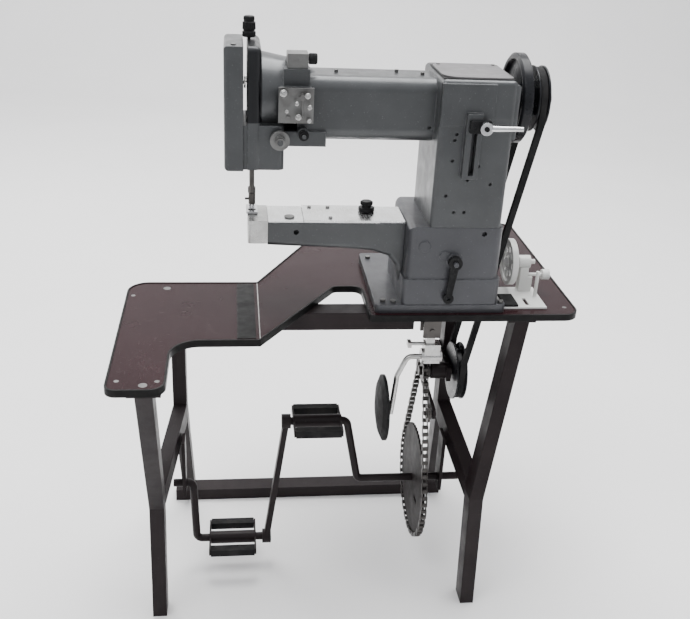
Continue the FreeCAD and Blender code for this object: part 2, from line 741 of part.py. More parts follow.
def pulley_profile(x, bore, hub=0.0):
    """A grooved pulley seen as (x, radius) corners."""
    half = pulley_wide / 2
    return [(x - half - hub, bore), (x - half - hub, 17), (x - half, 17), (x - half, rim),
            (x - half_groove - 1, rim), (x - half_groove, groove), (x + half_groove, groove),
            (x + half_groove + 1, rim), (x + half, rim), (x + half, bore)]


keep(solid_feature(spun(pulley_profile(low_x, counter_r), (0, counter)), "LowerPulley"),
     "lower_pulley")

shaft_z = top + size("shaft_rise")
shaft_r = size("shaft_radius")


def belt_loop():
    """The drive belt: half a turn on each pulley, and two runs that lean from one to the other."""
    lead = size("belt_lead")
    inner = belt_r - belt_deep / 2
    outer = belt_r + belt_deep / 2

    def half_turn(x, z, upper):
        ring = x_cylinder(x - belt_wide / 2, 0, z, outer, belt_wide)
        ring = ring.cut(x_cylinder(x - belt_wide / 2 - 1, 0, z, inner, belt_wide + 2))
        keep_z = z if upper else z - 2 * outer
        return ring.common(Part.makeBox(belt_wide + 4, 4 * outer, 2 * outer,
                                        vec(x - belt_wide / 2 - 2, -2 * outer, keep_z)))

    def section(x, z, side):
        return rectangle((x, side * belt_r, z), belt_wide, belt_deep, "z")

    loop = half_turn(high_x, shaft_z, True).fuse(half_turn(low_x, counter, False))
    for side in (-1, 1):
        stops = [section(high_x, shaft_z, side), section(high_x, shaft_z - lead, side),
                 section(low_x, counter + lead, side), section(low_x, counter, side)]
        for upper, lower in zip(stops, stops[1:]):
            loop = loop.fuse(Part.makeLoft([lower, upper], True, True))
    return loop.removeSplitter()


keep(solid_feature(belt_loop(), "DriveBelt"), "drive_belt")

# ---------------------------------------------------------------- knee lifter
knee_x = size("knee_x")
knee_y = size("knee_y")
knee_z = under - size("knee_drop")
bracket_sides = [block(("knee_x - 14", y, "table_top - board_thick - knee_drop - 12"),
                       (28, 5, "knee_drop + 12"), "KneeEar")
                 for y in ("knee_y - 16", "knee_y + 11")]
bracket_top = block(("knee_x - 14", "knee_y - 16", "table_top - board_thick - 5"), (28, 32, 5),
                    "KneeTop")
bracket_pin = rod("y", ("knee_x", "knee_y - 18", "table_top - board_thick - knee_drop"), 4, 36,
                  "KneePin")
keep(join([bracket_sides[0], bracket_sides[1], bracket_top, bracket_pin], "KneeBracket"),
     "knee_bracket")


clamp_z = knee_z - size("clamp_drop")


def knee_arm():
    """The hanging arm and the clamp that grips the bent rod."""
    arm = Part.makeBox(14, 14, 62, vec(knee_x - 6, knee_y - 7, knee_z - 62))
    eye = Part.makeCylinder(10, 18, vec(knee_x, knee_y - 9, knee_z), Y_AXIS)
    clamp = Part.makeBox(26, 22, 34, vec(knee_x - 8, knee_y - 11, knee_z - 62))
    clamp = clamp.fuse(x_cylinder(knee_x - 12, knee_y, clamp_z + 2, 12, 34))
    screw = x_cylinder(knee_x - 30, knee_y, knee_z - 30, 3, 30)
    thumb = Part.makeBox(6, 14, 9, vec(knee_x - 36, knee_y - 7, knee_z - 34.5))
    whole = arm.fuse(eye).fuse(clamp).fuse(screw).fuse(thumb)
    pin = Part.makeCylinder(4 + size("running_gap"), 40, vec(knee_x, knee_y - 20, knee_z), Y_AXIS)
    socket = x_cylinder(knee_x - 40, knee_y, clamp_z, size("knee_rod_radius"), 80)
    return whole.cut(pin).cut(socket).removeSplitter()


keep(solid_feature(knee_arm(), "KneeArm"), "knee_arm")
pad_x = size("pad_x")
pad_z = knee_z - size("pad_drop")
knee_rod = bent_bar([(knee_x + 24, knee_y, clamp_z), (pad_x + 40, knee_y, clamp_z),
                     (pad_x + 25, knee_y, clamp_z - 36), (pad_x + 19, knee_y, pad_z - 12)],
                    size("knee_rod_radius"), 12)
keep(solid_feature(knee_rod, "KneeRod"), "knee_rod")


def knee_pad():
    """A domed round pad facing the operator's knee, on a stub behind the rod."""
    pad_r = size("pad_radius")
    face = pad_x + 8
    profile = [(face, 0), (face, pad_r), (face - 5, pad_r), (face - 10, pad_r * 0.8),
               (face - 14, pad_r * 0.4), (face - 15, 0)]
    dome = spun(profile, (knee_y, pad_z))
    stub = x_cylinder(face, knee_y, pad_z, 9, pad_x + 19.3 - size("knee_rod_radius") - face)
    return dome.fuse(stub).removeSplitter()


keep(solid_feature(knee_pad(), "KneePad"), "knee_pad")

# ---------------------------------------------------------------- bed and base
bed_low = "table_top"
base_low = "table_top + bed_thick"
BED_OUTLINE = [
    (size("bed_left"), size("bed_front"), 8),
    (size("bed_right"), size("bed_front"), 8),
    (size("bed_right"), size("bed_back"), 8),
    (size("bed_left"), size("bed_back"), 8),
]
bed = plate_body("bed", BED_OUTLINE, (0, 0, bed_low), "bed_thick")
bed_slot = block((belt_slot_left, -belt_slot_half, "table_top - 1"),
                 ("bed_right - %d + 1" % belt_slot_left, 2 * belt_slot_half, "bed_thick + 2"), "BedSlot")
keep(cut(bed, [bed_slot], "BedPlate"), "bed_plate")

base_left = "column_x - 31"
foot_flare = block(("column_x - 35", "column_front - 1", base_low),
                   ("column_wide + bulge + 39", "column_back - column_front + 12",
                    "base_step_rise - bed_thick"), "BaseFoot")
body_block = block((base_left, "column_front + 1", base_low),
                   ("column_wide + bulge + 31", "column_back - column_front + 7",
                    "base_rise - bed_thick"), "BaseBody")
rounded_body = soften(body_block, 12, lambda edge: runs_along(edge, Z_AXIS)
                      or (runs_along(edge, Y_AXIS) and edge.CenterOfMass.z > top + 100
                          and edge.CenterOfMass.x < size("column_x")), "BaseRound")
rounded_foot = soften(foot_flare, 10, lambda edge: runs_along(edge, Z_AXIS), "FootRound")
base_room = block((base_left + " + wall", "column_front + 1 + wall", "table_top + bed_thick - 1"),
                  ("column_wide - 6", "column_back - column_front - 9",
                   "base_rise - bed_thick - wall + 1"), "BaseRoom")
base_slot = block((belt_slot_left, -belt_slot_half, "table_top + bed_thick - 1"),
                  (60, 2 * belt_slot_half, 92), "BaseSlot")
lower_shaft_bore = rod("x", ("column_x - 60", "hook_y", "table_top + cyl_rise - hook_drop"),
                       "lower_shaft_radius + running_gap", 60, "BaseShaftBore")
bosses = [rod("y", ("column_x - 5", "column_front - 1", "table_top + 113"), 9, 4, "BossOne"),
          rod("y", ("column_x + 28", "column_front - 1", "table_top + 98"), 8, 4, "BossTwo"),
          rod("y", ("lever_x", "column_front - 3", "table_top + lever_rise"), 12, 6, "LeverBoss")]
lever_pin = rod("y", ("lever_x", "column_front - 17", "table_top + lever_rise"), 4, 20, "LeverPin")
base_shell = cut(join([rounded_body, rounded_foot] + bosses, "BaseJoin"),
                 [base_room, base_slot, lower_shaft_bore,
                  rod("y", (357, "column_front", "table_top + 134"), 4, 8, "BaseHole")], "BaseShell")
keep(join([base_shell, lever_pin], "BaseCasting"), "base_casting")

# ---------------------------------------------------------------- column, arm and head
shaft_high = "table_top + shaft_rise"
column = block(("column_x", "column_front", "table_top + base_rise"),
               ("column_wide", "column_back - column_front", "arm_top_rise - base_rise"), "Column")
column_round = soften(column, 7, lambda edge: runs_along(edge, Z_AXIS)
                      or edge.CenterOfMass.z > top + size("arm_top_rise") - 1, "ColumnRound")
bulge_block = block(("column_x + column_wide - 30", "column_front + 2", "table_top + 283"),
                    ("30 + bulge", "column_back - column_front - 4", "arm_top_rise - 289"), "Bulge")
bulge_round = soften(bulge_block, 5, lambda edge: edge.CenterOfMass.x > size("column_x")
                     + size("column_wide"), "BulgeRound")
arm_box = block(("neck_x - 3", "-arm_half", "table_top + arm_low_rise"),
                ("column_x - neck_x + 13", "2 * arm_half", "arm_high_rise - arm_low_rise"), "ArmBox")
arm_round = soften(arm_box, 20, lambda edge: runs_along(edge, X_AXIS), "ArmRound")
neck = taper("x", ("head_left + head_wide - 1", 0, shaft_high), "head_radius - 2", "arm_half + 3",
             "neck_x - head_left - head_wide + 2", "Neck")
neck_fade = taper("x", ("neck_x", 0, shaft_high), "arm_half + 3", 28, 34, "NeckFade")
head_box = block(("head_left", "head_front - 2", "table_top + head_low_rise"),
                 ("head_wide", "head_back - head_front + 2", "head_top_rise - head_low_rise"), "HeadBox")
head_round = soften(head_box, 9, lambda edge: (runs_along(edge, Y_AXIS) or runs_along(edge, Z_AXIS))
                    and edge.CenterOfMass.x > size("head_left") + 2
                    and edge.CenterOfMass.z > top + 260
                    or (runs_along(edge, X_AXIS) and edge.CenterOfMass.z > top + 400), "HeadRound")
lower_head = block(("cover_right", "head_front", "table_top + head_low_rise"),
                   ("44 - cover_right", "40 - head_front", 66), "LowerHead")
lower_round = soften(lower_head, 9, lambda edge: runs_along(edge, Z_AXIS)
                     and edge.CenterOfMass.x > 20, "LowerHeadRound")
step = block((40, "-arm_half - 6", "table_top + arm_low_rise - 6"), (66, "2 * arm_half", 22), "Step")
block_pad = block((42, -50, "table_top + shaft_rise + 14"), (38, 40, 30), "BlockPad")
plate_pad = block((36, -63, "table_top + shaft_rise - 28"), (46, 30, 47), "PlatePad")
disc_post = rod("y", (37, -84, "table_top + shaft_rise - 56"), 4, 40, "DiscPost")
small_post = rod("y", (71, -84, "table_top + shaft_rise - 46"), 3, 46, "SmallPost")
small_boss = rod("y", (71, -64, "table_top + shaft_rise - 46"), 8, 26, "SmallBoss")
guide_plate = block(("stitch_x - 13", "column_front - 10", "table_top + stitch_rise - 81"),
                    (24, 12, 99), "GuidePlate")
guide_slot = block(("stitch_x - 4", "column_front - 12", "table_top + stitch_rise - 75"),
                   (8, 18, 80), "GuideSlot")
front_panel = block(("column_x + 1", "column_front - 2", "arm_top_rise + table_top - 67"), (80, 6, 62),
                    "FrontPanel")
solid_parts = [column_round, bulge_round, arm_round, neck, neck_fade, head_round, lower_round, step,
               block_pad, plate_pad, small_boss, guide_plate, front_panel]
arm_room = block(("neck_x + 6", "-arm_half + wall", "table_top + arm_low_rise + wall"),
                 ("column_x + column_wide - wall - neck_x - 6", "2 * (arm_half - wall)",
                  "arm_high_rise - arm_low_rise - 2 * wall"), "ArmRoom")
column_room = block(("column_x + wall", "column_front + wall", "table_top + base_rise - 1"),
                    ("column_wide - 2 * wall", "column_back - column_front - 2 * wall",
                     "arm_top_rise - base_rise - wall"), "ColumnRoom")
disc_room = rod("x", ("head_left - 1", 0, shaft_high), "head_radius - 8", "head_wide - 1.5", "DiscRoom")
head_room = block(("cover_right + 4", "head_front + 8", "table_top + head_low_rise + 14"),
                  ("30 - cover_right", "26 - head_front", 42), "HeadRoom")
bar_way = block((-8, -20, "table_top + head_low_rise + 50"), (14, 56, 60), "BarWay")
needle_bore = rod("z", ("needle_x", 0, "table_top + 200"), "needle_bar_radius + running_gap", 60,
                  "NeedleBore")
presser_bore = rod("z", ("needle_x", "presser_y", "table_top + 200"),
                   "presser_bar_radius + running_gap", 60, "PresserBore")
block_seat = block((47, -46, "table_top + shaft_rise + 44"), (30, 32, 30), "BlockSeat")
shaft_bore = rod("x", (0, 0, shaft_high), "shaft_radius + running_gap",
                 "column_x + column_wide + 40", "ShaftBore")
knob_bore = rod("x", (50, -30, "table_top + shaft_rise + 56"), 3.05, 60, "BlockKnobBore")
slot_gap = block(("cover_right - 1", "head_front - 1", "table_top + head_low_rise + 66"),
                 ("head_left - cover_right + 1", 120, 140), "SlotGap")
holes = [guide_slot]
HOLE_PLACES = [(297, 291), (294.5, 282), (294, 251), (334, 243), (320, 222), (356, 215), (289, 196),
               (304, 170), (320, 170), (262, 292)]
for index, (hole_x, hole_rise) in enumerate(HOLE_PLACES):
    depth = "-arm_half - 1" if hole_x < 269 else "column_front - 1"
    holes.append(rod("y", (hole_x, depth, "table_top + %d" % hole_rise), 2.6, 6, "FaceHole%d" % index))
cap_bore = rod("z", (-7, 10, "table_top + head_top_rise - 30"), 2.45, 60, "CapBore")
rooms = [arm_room, column_room, disc_room, head_room, bar_way, needle_bore, presser_bore, shaft_bore,
         slot_gap, block_seat, cap_bore]
arm_shell = cut(join(solid_parts, "ArmJoin"), rooms + holes, "ArmShell")
keep(join([arm_shell, disc_post, small_post], "ArmCasting"), "arm_casting")

cover_outer = block(("cover_left", "head_front - 2", "table_top + head_low_rise - 2"),
                    ("cover_right - cover_left", "head_back - head_front + 2", "cover_high + 2"),
                    "CoverOuter")
cover_round = soften(cover_outer, 6, lambda edge: edge.CenterOfMass.x < size("cover_left") + 1
                     or (runs_along(edge, X_AXIS) and edge.CenterOfMass.y > 0), "CoverRound")
cover_room = block(("cover_left + 4", "head_front + 3", "table_top + head_low_rise + 3"),
                   ("cover_right - cover_left", "head_back - head_front - 8", "cover_high - 9"),
                   "CoverRoom")
cover_boss = rod("x", ("cover_left + 3", 20, "table_top + 340"), 7, "cover_right - cover_left - 3",
                 "CoverBoss")
cover_bore = rod("x", ("cover_left + 8", 20, "table_top + 340"), 3.05, 60, "CoverBore")
keep(cut(join([cut(cover_round, [cover_room], "CoverHollow"), cover_boss], "CoverJoin"),
         [cover_bore], "FaceCover"), "face_cover")

lid_z = "table_top + arm_top_rise"
cover_points = [(size("column_x") + 4, -69, 26), (size("column_x") + 108, -69, 8),
                (size("column_x") + 108, 38, 6), (size("column_x") + 4, 38, 18)]
keep(plate_body("lid", cover_points, (0, 0, lid_z), "plate_thick"), "top_cover")

# ---------------------------------------------------------------- cylinder arm
cyl_top = top + size("cyl_rise")
join_low = size("column_x") - 35
join_high = size("column_x") - 31
arm_low = cyl_top - size("cyl_high")
cap_right = size("cap_right")


def cylinder_arm():
    """The work-support arm: a bar with a rounded underside that sweeps down into the base."""
    reach = join_low - cap_right
    points = [(cap_right, cyl_top), (cap_right, arm_low), (cap_right + reach * 0.55, arm_low - 5),
              (cap_right + reach * 0.78, arm_low - 9), (join_low - 20, arm_low - 18),
              (join_low - 8, arm_low - 34), (join_low, arm_low - 62),
              (join_low, top + size("base_step_rise")), (join_high, top + size("base_step_rise")),
              (join_high, cyl_top)]
    places = [vec(x, size("cyl_front"), z) for x, z in points]
    width = size("cyl_back") - size("cyl_front")
    body = Part.Face(Part.makePolygon(places + places[:1])).extrude(vec(0, width, 0))
    edges = [edge for edge in body.Edges
             if abs(edge.tangentAt(edge.FirstParameter).y) < 1e-6
             and edge.CenterOfMass.z < arm_low + 1 and edge.CenterOfMass.x < join_low - 1]
    body = body.makeFillet(9, edges)
    shaft_line = cyl_top - size("hook_drop")
    bore = x_cylinder(cap_right - 1, size("hook_y"), shaft_line,
                      size("lower_shaft_radius") + size("running_gap"), reach + 40)
    hole = Part.makeCylinder(4, 12, vec(66, size("cyl_front") - 1, cyl_top - 15), Y_AXIS)
    knob_hole = Part.makeCylinder(4.05, 14, vec(size("knob_x"), 5, cyl_top - 13))
    return body.cut(bore).cut(hole).cut(knob_hole)


keep(solid_feature(cylinder_arm(), "CylinderArm"), "cylinder_arm")
cap = block(("tip_x", "cyl_front + 1", "table_top + cyl_rise - cyl_high + 4"),
            ("cap_right - tip_x", "cyl_back - cyl_front - 2", "cyl_high - 7"), "CapBlock")
cap_round = soften(cap, 5, lambda edge: runs_along(edge, Z_AXIS)
                   and edge.CenterOfMass.x < size("tip_x") + 1, "CapRound")
cap_room = block(("tip_x + 2.5", "hook_y - 15", "table_top + cyl_rise - cyl_high + 6"),
                 ("cap_right - tip_x", 37, "cyl_high - 8"), "CapRoom")
keep(cut(cap_round, [cap_room], "TipCap"), "arm_tip_cap")

needle_x = size("needle_x")
plate_low = "table_top + cyl_rise - plate_thick"
needle_plate = block(("tip_x", "cyl_front + 1", plate_low),
                     ("cap_right - tip_x", "cyl_back - cyl_front - 2", "plate_thick * 2"), "NeedlePlate")
needle_hole = rod("z", ("needle_x", 0, "table_top + cyl_rise - 10"), 2.2, 20, "NeedleHole")
feed_slot = block(("needle_x - 5", 3, "table_top + cyl_rise - 10"), (10, 16, 20), "FeedSlot")
keep(cut(needle_plate, [needle_hole, feed_slot], "NeedlePlateCut"), "needle_plate")
feed_parts = [block(("needle_x - 4", 7, "table_top + cyl_rise - 6"), (8, 8, 8), "FeedBlock")]
for index in range(3):
    feed_parts.append(block(("needle_x - 4", 7.4 + 2.7 * index, "table_top + cyl_rise + 2"),
                            (8, 1.4, 1.6), "FeedTooth%d" % index))
keep(join(feed_parts, "FeedDog"), "feed_dog")


def hook():
    """The lower shaft with the rotating hook at its tip."""
    line = cyl_top - size("hook_drop")
    shaft = x_cylinder(13, size("hook_y"), line, size("lower_shaft_radius"), size("column_x") - 24)
    cup = x_cylinder(3, size("hook_y"), line, size("hook_radius"), 11)
    room = x_cylinder(2, size("hook_y"), line, size("hook_radius") - 2.5, 8)
    point = Part.makeBox(9, 7, 14, vec(2, size("hook_y") - 14, line))
    return cup.cut(room).cut(point).fuse(shaft)


keep(solid_feature(hook(), "Hook"), "hook")
plate_z = "table_top + cyl_rise"
plates = [block(("cap_right + 0.4", "cyl_front + 2", plate_z), (55, "cyl_back - cyl_front - 4", 2.4),
                "StepPlate"),
          block(("cap_right + 56", "cyl_front + 2", plate_z),
                ("knob_x - cap_right - 40", "cyl_back - cyl_front - 4", "plate_thick + 1.2"), "LongPlate"),
          block(("knob_x + 16.6", "cyl_front + 3", plate_z),
                ("column_x - knob_x - 48", "cyl_back - cyl_front - 6", "plate_thick"), "EndPlate")]
plate_knob_hole = rod("z", ("knob_x", 5, "table_top + cyl_rise - 2"), 4.05, 20, "PlateKnobHole")
plates[1] = cut(plates[1], [plate_knob_hole], "LongPlateBored")
keep(group(plates, "ArmTopPlates"), "arm_top_plates")
knob_stack = [rod("z", ("knob_x", 5, "table_top + cyl_rise - 11"), 4, 18, "KnobStem"),
              rod("z", ("knob_x", 5, "table_top + cyl_rise + plate_thick + 1.6"), 13, 6, "KnobFlange"),
              rod("z", ("knob_x", 5, "table_top + cyl_rise + plate_thick + 7.6"), 8, 5, "KnobNeck"),
              rod("z", ("knob_x", 5, "table_top + cyl_rise + plate_thick + 12.6"), 10.5, 6, "KnobHead")]
keep(join(knob_stack, "ArmKnob"), "arm_knob")

# ---------------------------------------------------------------- shafts, bars and wheel
wheel_x = size("wheel_x")
shaft_parts = [rod("x", (5, 0, shaft_high), "shaft_radius", "pulley_high_x + 19", "MainRod"),
               rod("x", (2.8, 0, shaft_high), 30, 4, "CrankDisc")]
keep(join(shaft_parts, "MainShaft"), "main_shaft")


def handwheel():
    """A dished handwheel with the belt pulley cast on its outer side."""
    radius = size("wheel_radius")
    wide_rim = size("wheel_wide")
    half = pulley_wide / 2
    pulley_left = high_x - half
    profile = [(wheel_x, shaft_r), (wheel_x, 20), (wheel_x + 6, 24), (wheel_x + 7, radius - 12),
               (wheel_x + 1, radius - 9), (wheel_x, radius - 4), (wheel_x + 3, radius),
               (wheel_x + wide_rim - 3, radius), (wheel_x + wide_rim, radius - 4),
               (wheel_x + wide_rim - 1, radius - 10), (wheel_x + 13, radius - 14),
               (wheel_x + 14, 26), (pulley_left, 26), (pulley_left, rim),
               (high_x - half_groove - 1, rim), (high_x - half_groove, groove),
               (high_x + half_groove, groove), (high_x + half_groove + 1, rim), (high_x + half, rim),
               (high_x + half, rim - 8), (high_x + half - 5, rim - 12), (high_x + half - 5, 18),
               (high_x + half + 4, 16), (high_x + half + 4, shaft_r)]
    return spun(profile, (0, shaft_z))


keep(solid_feature(handwheel(), "Handwheel"), "handwheel")
needle_bar = join([rod("z", ("needle_x", 0, "table_top + cyl_rise + 30"), "needle_bar_radius", 176,
                       "NeedleRod"),
                   rod("z", ("needle_x", 0, "table_top + cyl_rise + 17"), 5.4, 17, "NeedleClamp"),
                   rod("x", ("needle_x - 11", 0, "table_top + cyl_rise + 25"), 1.8, 10, "ClampScrew")],
                  "NeedleBar")
keep(needle_bar, "needle_bar")
keep(join([rod("z", ("needle_x", 0, "table_top + cyl_rise + 7"), 1.1, 10, "NeedleShank"),
           taper("z", ("needle_x", 0, "table_top + cyl_rise + 4"), 0.2, 1.1, 3, "NeedleTip")], "Needle"),
     "needle")
keep(join([rod("z", ("needle_x", "presser_y", "table_top + cyl_rise + 18"), "presser_bar_radius", 196,
               "PresserRod"),
           rod("z", ("needle_x", "presser_y", "table_top + cyl_rise + 30"), 6, 9, "PresserCollar")],
          "PresserBar"), "presser_bar")
foot_low = "table_top + cyl_rise + 4.2"
foot_sole = block(("needle_x - 9", -12, foot_low), (18, 36, 3), "FootSole")
foot_hole = rod("z", ("needle_x", 0, "table_top + cyl_rise"), 6.2, 12, "FootHole")
foot_shank = block(("needle_x - 4", "presser_y - 5", "table_top + cyl_rise + 6"), (8, 10, 12), "FootShank")
keep(cut(join([foot_sole, foot_shank], "FootJoin"), [foot_hole], "PresserFoot"), "presser_foot")


def take_up():
    """The take-up lever: a bent plate on a pin, with a thread eye in front of the slot."""
    hub_z = top + 340
    eye_y = size("head_front") - 12
    plate = Part.makeLoft([rectangle((-13, 22, hub_z), 2.6, 12, "y"),
                           rectangle((-13, eye_y, hub_z + 24), 2.6, 7, "y")], True, True)
    hub = x_cylinder(-14.3, 20, hub_z, 9, 2.6)
    eye = x_cylinder(-14.3, eye_y, hub_z + 24, 5.5, 2.6)
    hole = x_cylinder(-16, eye_y, hub_z + 24, 2, 8)
    pin = x_cylinder(-34, 20, hub_z, 3, 20)
    return plate.fuse(hub).fuse(eye).cut(hole).fuse(pin).removeSplitter()


keep(solid_feature(take_up(), "TakeUpLever"), "take_up_lever")

# ---------------------------------------------------------------- thread controls
plate_front = "head_front - 9"
tension_base = block((34, plate_front, "table_top + shaft_rise - 30"), (51, 3.8, 51), "TensionPlate")
studs = [rod("y", (42, "head_front - 19", "table_top + shaft_rise + 12"), 5.5, 10.4, "StudLarge"),
         rod("y", (42, "head_front - 23", "table_top + shaft_rise + 12"), 3.2, 6, "StudHex"),
         rod("y", (68, "head_front - 20", "table_top + shaft_rise + 9"), 4.2, 11.4, "StudTop"),
         rod("y", (68, "head_front - 18", "table_top + shaft_rise - 20"), 2.4, 9.4, "StudLow"),
         rod("y", (48, "head_front - 13", "table_top + shaft_rise - 22"), 3, 4.4, "ScrewOne"),
         rod("y", (78, "head_front - 13", "table_top + shaft_rise - 25"), 3, 4.4, "ScrewTwo"),
         rod("z", (68, "head_front - 16", "table_top + shaft_rise - 20"), 1.4, 29, "StudLink")]
keep(join([tension_base] + studs, "TensionGuides"), "tension_plate")


def tension_disc():
    """Two dished discs, a coil-spring drum and a nut on the fixed post."""
    z = top + size("shaft_rise") - 56
    parts = [(-66, 14.5, 2), (-69.2, 14.5, 2), (-67.4, 6, 2), (-75, 8, 6), (-82, 6.8, 7)]
    whole = None
    for y, radius, length in parts:
        drum = Part.makeCylinder(radius, length, vec(37, y, z), Y_AXIS)
        whole = drum if whole is None else whole.fuse(drum)
    return whole.cut(Part.makeCylinder(4.05, 60, vec(37, -100, z), Y_AXIS)).removeSplitter()


keep(solid_feature(tension_disc(), "TensionDisc"), "tension_disc")


def small_knob():
    z = top + size("shaft_rise") - 46
    drum = Part.makeCylinder(7.5, 6, vec(71, -76, z), Y_AXIS)
    collar = Part.makeCylinder(5, 6, vec(71, -81, z), Y_AXIS)
    return drum.fuse(collar).cut(Part.makeCylinder(3.05, 60, vec(71, -100, z), Y_AXIS)).removeSplitter()


keep(solid_feature(small_knob(), "TensionKnob"), "tension_knob")
top_block = block((47, -46, "table_top + shaft_rise + 44"), (30, 32, 21), "TopBlock")
keep(cut(top_block, [knob_bore], "TopBlockBored"), "top_block")
keep(join([rod("x", (58, -30, "table_top + shaft_rise + 56"), 3, 24, "BlockStem"),
           rod("x", (79, -30, "table_top + shaft_rise + 56"), 8, 12, "BlockHead")], "BlockKnob"),
     "block_knob")
keep(join([rod("z", (-7, 10, "table_top + head_top_rise - 12"), 2.4, 16, "PressureStem"),
           rod("z", (-7, 10, "table_top + head_top_rise + 3"), 10, 21, "PressureHead"),
           rod("z", (-7, 10, "table_top + head_top_rise + 24"), 8, 9, "PressureTop")],
          "PressureKnob"), "pressure_knob")

# ---------------------------------------------------------------- levers on the column
pivot_x = size("stitch_x") + size("stitch_shift")
stitch_z = top + size("stitch_rise")
front = size("column_front")
slider_block = block(("stitch_x - 9", "column_front - 17", "table_top + stitch_rise - 9"),
                     ("stitch_shift + 18", 6.7, 18), "SliderBlock")
slider_pin = rod("y", ("stitch_x", "column_front - 17", "table_top + stitch_rise"), "stitch_pin", 19,
                 "SliderPin")
pivot_pin = rod("y", ("stitch_x + stitch_shift", "column_front - 29", "table_top + stitch_rise"),
                "stitch_pin", 14, "PivotPin")
keep(join([slider_block, slider_pin, pivot_pin], "StitchSlider"), "stitch_slider")


def stitch_lever():
    """A hub on the slider pin with a round handle pointing right."""
    bore = Part.makeCylinder(size("stitch_pin") + 0.05, 30, vec(pivot_x, front - 40, stitch_z), Y_AXIS)
    hub = Part.makeCylinder(9.5, 9, vec(pivot_x, front - 27, stitch_z), Y_AXIS)
    grip = Part.makeCone(5, 3.6, 48, vec(pivot_x + 7, front - 22.5, stitch_z), X_AXIS)
    return hub.fuse(grip).cut(bore).removeSplitter()


keep(solid_feature(stitch_lever(), "StitchLever"), "stitch_lever")


def base_lever():
    """A black lever hanging from its pivot on the base, with a ring at its lower end."""
    x = size("lever_x")
    z = top + size("lever_rise")
    y = front - 12
    hub = Part.makeCylinder(11, 9, vec(x, y, z), Y_AXIS)
    low = z - 60
    bar = Part.makeLoft([rectangle((x, y + 3.5, z), 13, 6, "z"),
                         rectangle((x - 6, y + 3.5, low), 9, 6, "z")], True, True)
    end = Part.makeCylinder(8.5, 6, vec(x - 6, y + 0.5, low), Y_AXIS)
    bore = Part.makeCylinder(4.05, 40, vec(x, y - 20, z), Y_AXIS)
    eye = Part.makeCylinder(3.2, 20, vec(x - 6, y - 10, low), Y_AXIS)
    return hub.fuse(bar).fuse(end).cut(bore).cut(eye).removeSplitter()


keep(solid_feature(base_lever(), "BaseLever"), "base_lever")

# ---------------------------------------------------------------- bobbin winder
winder_x = size("winder_x")
winder_y = size("winder_y")
winder_z = top + size("winder_rise")


def winder_frame():
    """The winder's slotted foot, its upright with the spindle bearing, and the thread post."""
    foot = Part.makeBox(74, 82, 3, vec(winder_x - 25, winder_y - 76, top))
    for shift in (14, 40):
        foot = foot.cut(Part.makeBox(6, 26, 9, vec(winder_x - 32 + shift + 8, winder_y - 66, top - 3)))
    upright = Part.makeBox(14, 16, size("winder_rise") - 10, vec(winder_x + 18, winder_y - 12, top + 3))
    gusset = Part.makeBox(22, 5, 26, vec(winder_x + 18, winder_y - 12, top + 3))
    bearing = x_cylinder(winder_x + 15, winder_y, winder_z, 11, 20)
    post = Part.makeCylinder(3, 44, vec(winder_x + 42, winder_y - 30, top + 3))
    arm = x_cylinder(winder_x + 31, winder_y - 4, winder_z - 22, 3, 29)
    knob = x_cylinder(winder_x + 58, winder_y - 4, winder_z - 22, 9, 12)
    whole = foot.fuse(upright).fuse(gusset).fuse(bearing).fuse(post).fuse(arm).fuse(knob)
    bore = x_cylinder(winder_x, winder_y, winder_z, size("spindle_radius") + size("running_gap"), 90)
    return whole.cut(bore).removeSplitter()


keep(solid_feature(winder_frame(), "WinderFrame"), "winder_frame")


def winder_wheel():
    """A ring wheel with oval holes in its web, on a spindle."""
    radius = size("winder_radius")
    profile = [(winder_x - 5, 0), (winder_x - 5, 9), (winder_x - 1.5, 9), (winder_x - 1.5, radius - 7),
               (winder_x - 5, radius - 6), (winder_x - 5, radius), (winder_x + 5, radius),
               (winder_x + 5, radius - 6), (winder_x + 1.5, radius - 7), (winder_x + 1.5, 9),
               (winder_x + 6, 9), (winder_x + 6, 0)]
    wheel = spun(profile, (winder_y, winder_z))
    wheel = wheel.fuse(x_cylinder(winder_x, winder_y, winder_z, size("spindle_radius"), 44))
    for index in range(8):
        angle = 2 * math.pi * index / 8
        reach = radius * 0.56
        wheel = wheel.cut(x_cylinder(winder_x - 4, winder_y + reach * math.cos(angle),
                                     winder_z + reach * math.sin(angle), 5.2, 8))
    return wheel.removeSplitter()


keep(solid_feature(winder_wheel(), "WinderWheel"), "winder_wheel")

# ---------------------------------------------------------------- fasteners
screws = screw_heads(MAIN_SCREWS, "MainScrew") + screw_heads(SHELF_SCREWS, "ShelfScrew")
FLANGE_BOLTS = [(206, 120), (206, -64), (222, -68), (398.5, -70), (398, 134)]
for index, (x, y) in enumerate(FLANGE_BOLTS):
    screws.append(rod("z", (x, y, "table_top + bed_thick"), 4.5, 4, "FlangeBolt%d" % index))
TOP_PINS = [(252, -8), (215, 8), (122, -4)]
for index, (x, y) in enumerate(TOP_PINS):
    screws.append(rod("z", (x, y, "table_top + arm_high_rise"), 3, 4, "TopPin%d" % index))
LID_SCREWS = [(283, 30), (370, 32)]
for index, (x, y) in enumerate(LID_SCREWS):
    screws.append(rod("z", (x, y, "table_top + arm_top_rise + plate_thick"), 3, 1.2, "LidScrew%d" % index))
for index, (x, y) in enumerate([(56, -22), (90, 20), (120, -30), (120, 20)]):
    lift = 2.4 if x < 77 else 4.2
    screws.append(rod("z", (x, y, "table_top + cyl_rise + %s" % lift), 3.2 if index else 8, 2,
                      "PlateScrew%d" % index))
screws.append(rod("z", (-30, -44, "table_top + head_low_rise + cover_high"), 4, 1.5, "CoverScrew"))
keep(group(screws, "Fasteners"), "fasteners")

